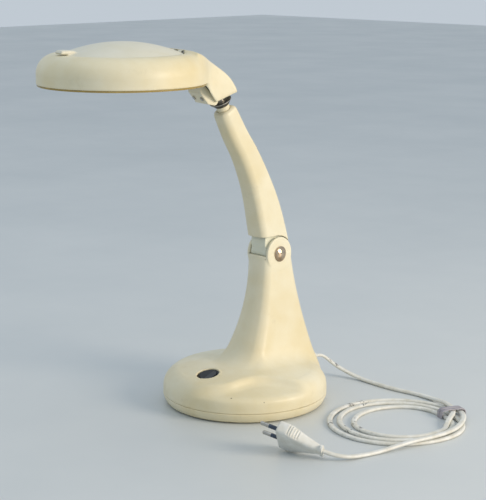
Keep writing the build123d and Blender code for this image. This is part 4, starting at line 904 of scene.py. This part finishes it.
def strapTurn(name, shift, lift):
    rows = []
    tangent = np.gradient(np.array(tieOver), axis=0)
    strap = [(-1, -1), (-0.8, 1), (0.8, 1), (1, -1)]
    for (u, v), (du, dv) in zip(tieOver, tangent):
        size = math.hypot(du, dv)
        out = np.array([dv / size, -du / size])
        if out[1] < 0 and abs(u) < tieSizes["half"] - 1:
            out = -out
        for along, outward in strap:
            push = tieSizes["thick"] / 2 * outward
            height = max(0.0, v + out[1] * push + lift)
            spot = tieAcross * (u + out[0] * push) + tieAlong * (shift + along * tieSizes["width"] / 2)
            rows.append(spot + (*tieSizes["at"], height))
    return lofted(name, np.vstack(rows), len(strap), 50)


tieOne = strapTurn("tieTurnOne", -tieSizes["apart"], 0)
tieTwo = strapTurn("tieTurnTwo", tieSizes["apart"], 0.05)
placed(tieOne, "base", "tie_grey", "cord_tie")
placed(tieTwo, "base", "tie_grey")

# Plug body with grip ribs, in its own frame: x along, y across, z through

plugSizes = {"step": 0.55, "quickStep": 0.9, "length": 45.5, "half": 18.0, "deep": 6.85, "straight": 10.0,
             "edge": 4.2, "start": 2.2, "ribs": 5, "pitch": 2.4, "ribHalf": 0.5, "ribDeep": 0.95,
             "pinApart": 9.3, "pinBore": 2.03, "pinDeep": 6.05, "heading": 201.3, "tilt": 13.2, "roll": 48.2}
heading, tilt, roll = [math.radians(plugSizes[key]) for key in ("heading", "tilt", "roll")]
plugAlong = np.array([math.cos(heading) * math.cos(tilt), math.sin(heading) * math.cos(tilt), math.sin(tilt)])
level = np.cross((0, 0, 1), plugAlong)
level /= np.linalg.norm(level)
plugAcross = level * math.cos(roll) + np.cross(plugAlong, level) * math.sin(roll)
plugFrame = axesFrom(plugAlong, plugAcross, np.cross(plugAlong, plugAcross), tail[-1])
shoulder = plugSizes["length"] - plugSizes["straight"]
plugWide = curveThrough([(-6, 5.2), (2.2, 5.2), (14, 9.0), (25.5, 14.0), (30.5, 16.8),
                         (shoulder, plugSizes["half"]), (40, plugSizes["half"]), (52, plugSizes["half"])], 8)
plugDeep = np.array([(-5, 3.6), (2.2, 3.6), (shoulder - 4, plugSizes["deep"]), (60, plugSizes["deep"])])


def plugField(p):
    x, y, z = p.T
    size = plugSizes
    wide, deep = np.interp(x, plugWide[:, 0], plugWide[:, 1]), np.interp(x, plugDeep[:, 0], plugDeep[:, 1])
    body = smoothMax(np.abs(y) - wide, np.abs(z) - deep, size["edge"])
    body = smoothMax(body, x - size["length"], 2.0)
    body = smoothMax(body, size["start"] - x, 0.5)
    for i in range(size["ribs"]):
        groove = shoulder - 1.5 - size["pitch"] * i
        edge = np.interp(groove, plugWide[:, 0], plugWide[:, 1])
        cut = np.maximum(np.abs(x - groove) - size["ribHalf"], edge - size["ribDeep"] - np.abs(y))
        body = smoothMax(body, -cut, 0.5)
    tailOval = np.hypot(np.maximum(np.abs(y) - 5.3, 0), z) - 3.2
    flangeHalf = size["start"] / 2
    body = smoothMin(body, np.maximum(tailOval, np.abs(x - flangeHalf) - flangeHalf), 0.6)
    pins = np.hypot(np.abs(y) - size["pinApart"], z) - size["pinBore"]
    return np.maximum(body, -np.maximum(pins, size["length"] - size["pinDeep"] - x))


plugBody = fieldMesh("plugBody", plugField, (-1, -19.5, -8.3), (47, 19.5, 8.3), stepOf(plugSizes), plugFrame)
placed(plugBody, "base", "cord_white", "plug_body")
print("cord done")

# Stage: pale table, warm light from the right, cool fill

lightLevels = {"key": 26.0, "fill": 7.0, "world": 0.74}
scene = bpy.context.scene
scene.view_settings.view_transform = "Standard"
tableHalf = 6
tableData = bpy.data.meshes.new("table")
tableData.from_pydata([(-tableHalf, -tableHalf, 0), (tableHalf, -tableHalf, 0), (tableHalf, tableHalf, 0),
                       (-tableHalf, tableHalf, 0)], [], [(0, 1, 2, 3)])
tableData.materials.append(plain("tableTop", (206, 210, 210), (200, 205, 206), 3.0, (0.34, 0.44), 300, 0.02))
table = bpy.data.objects.new("table", tableData)
scene.collection.objects.link(table)
scene.world = scene.world or bpy.data.worlds.new("World")
scene.world.use_nodes = True
background = scene.world.node_tree.nodes["Background"]
background.inputs["Color"].default_value = (0.72, 0.80, 0.88, 1)
background.inputs["Strength"].default_value = lightLevels["world"]


def areaLight(name, spot, aim, size, power, colour):
    data = bpy.data.lights.new(name, "AREA")
    data.shape, data.size, data.energy, data.color = "DISK", size, power, colour
    obj = bpy.data.objects.new(name, data)
    obj.location = spot
    obj.rotation_euler = (Vector(aim) - Vector(spot)).to_track_quat("-Z", "Y").to_euler()
    scene.collection.objects.link(obj)


areaLight("windowRight", (1.75, 0.55, 0.75), (0, 0, 0.18), 0.9, lightLevels["key"], (1.0, 0.86, 0.70))
areaLight("skyAbove", (-0.4, -0.6, 2.2), (0, 0, 0.1), 1.8, lightLevels["fill"], (0.86, 0.93, 1.0))

cameraData = bpy.data.cameras.new("camera")
cameraData.lens = 103.74
cameraData.sensor_width = 36
camera = bpy.data.objects.new("camera", cameraData)
camera.location = (1.0522, -1.0225, 0.4739)
camera.rotation_euler = (math.radians(78), 0, math.radians(45.9))
scene.collection.objects.link(camera)
scene.camera = camera
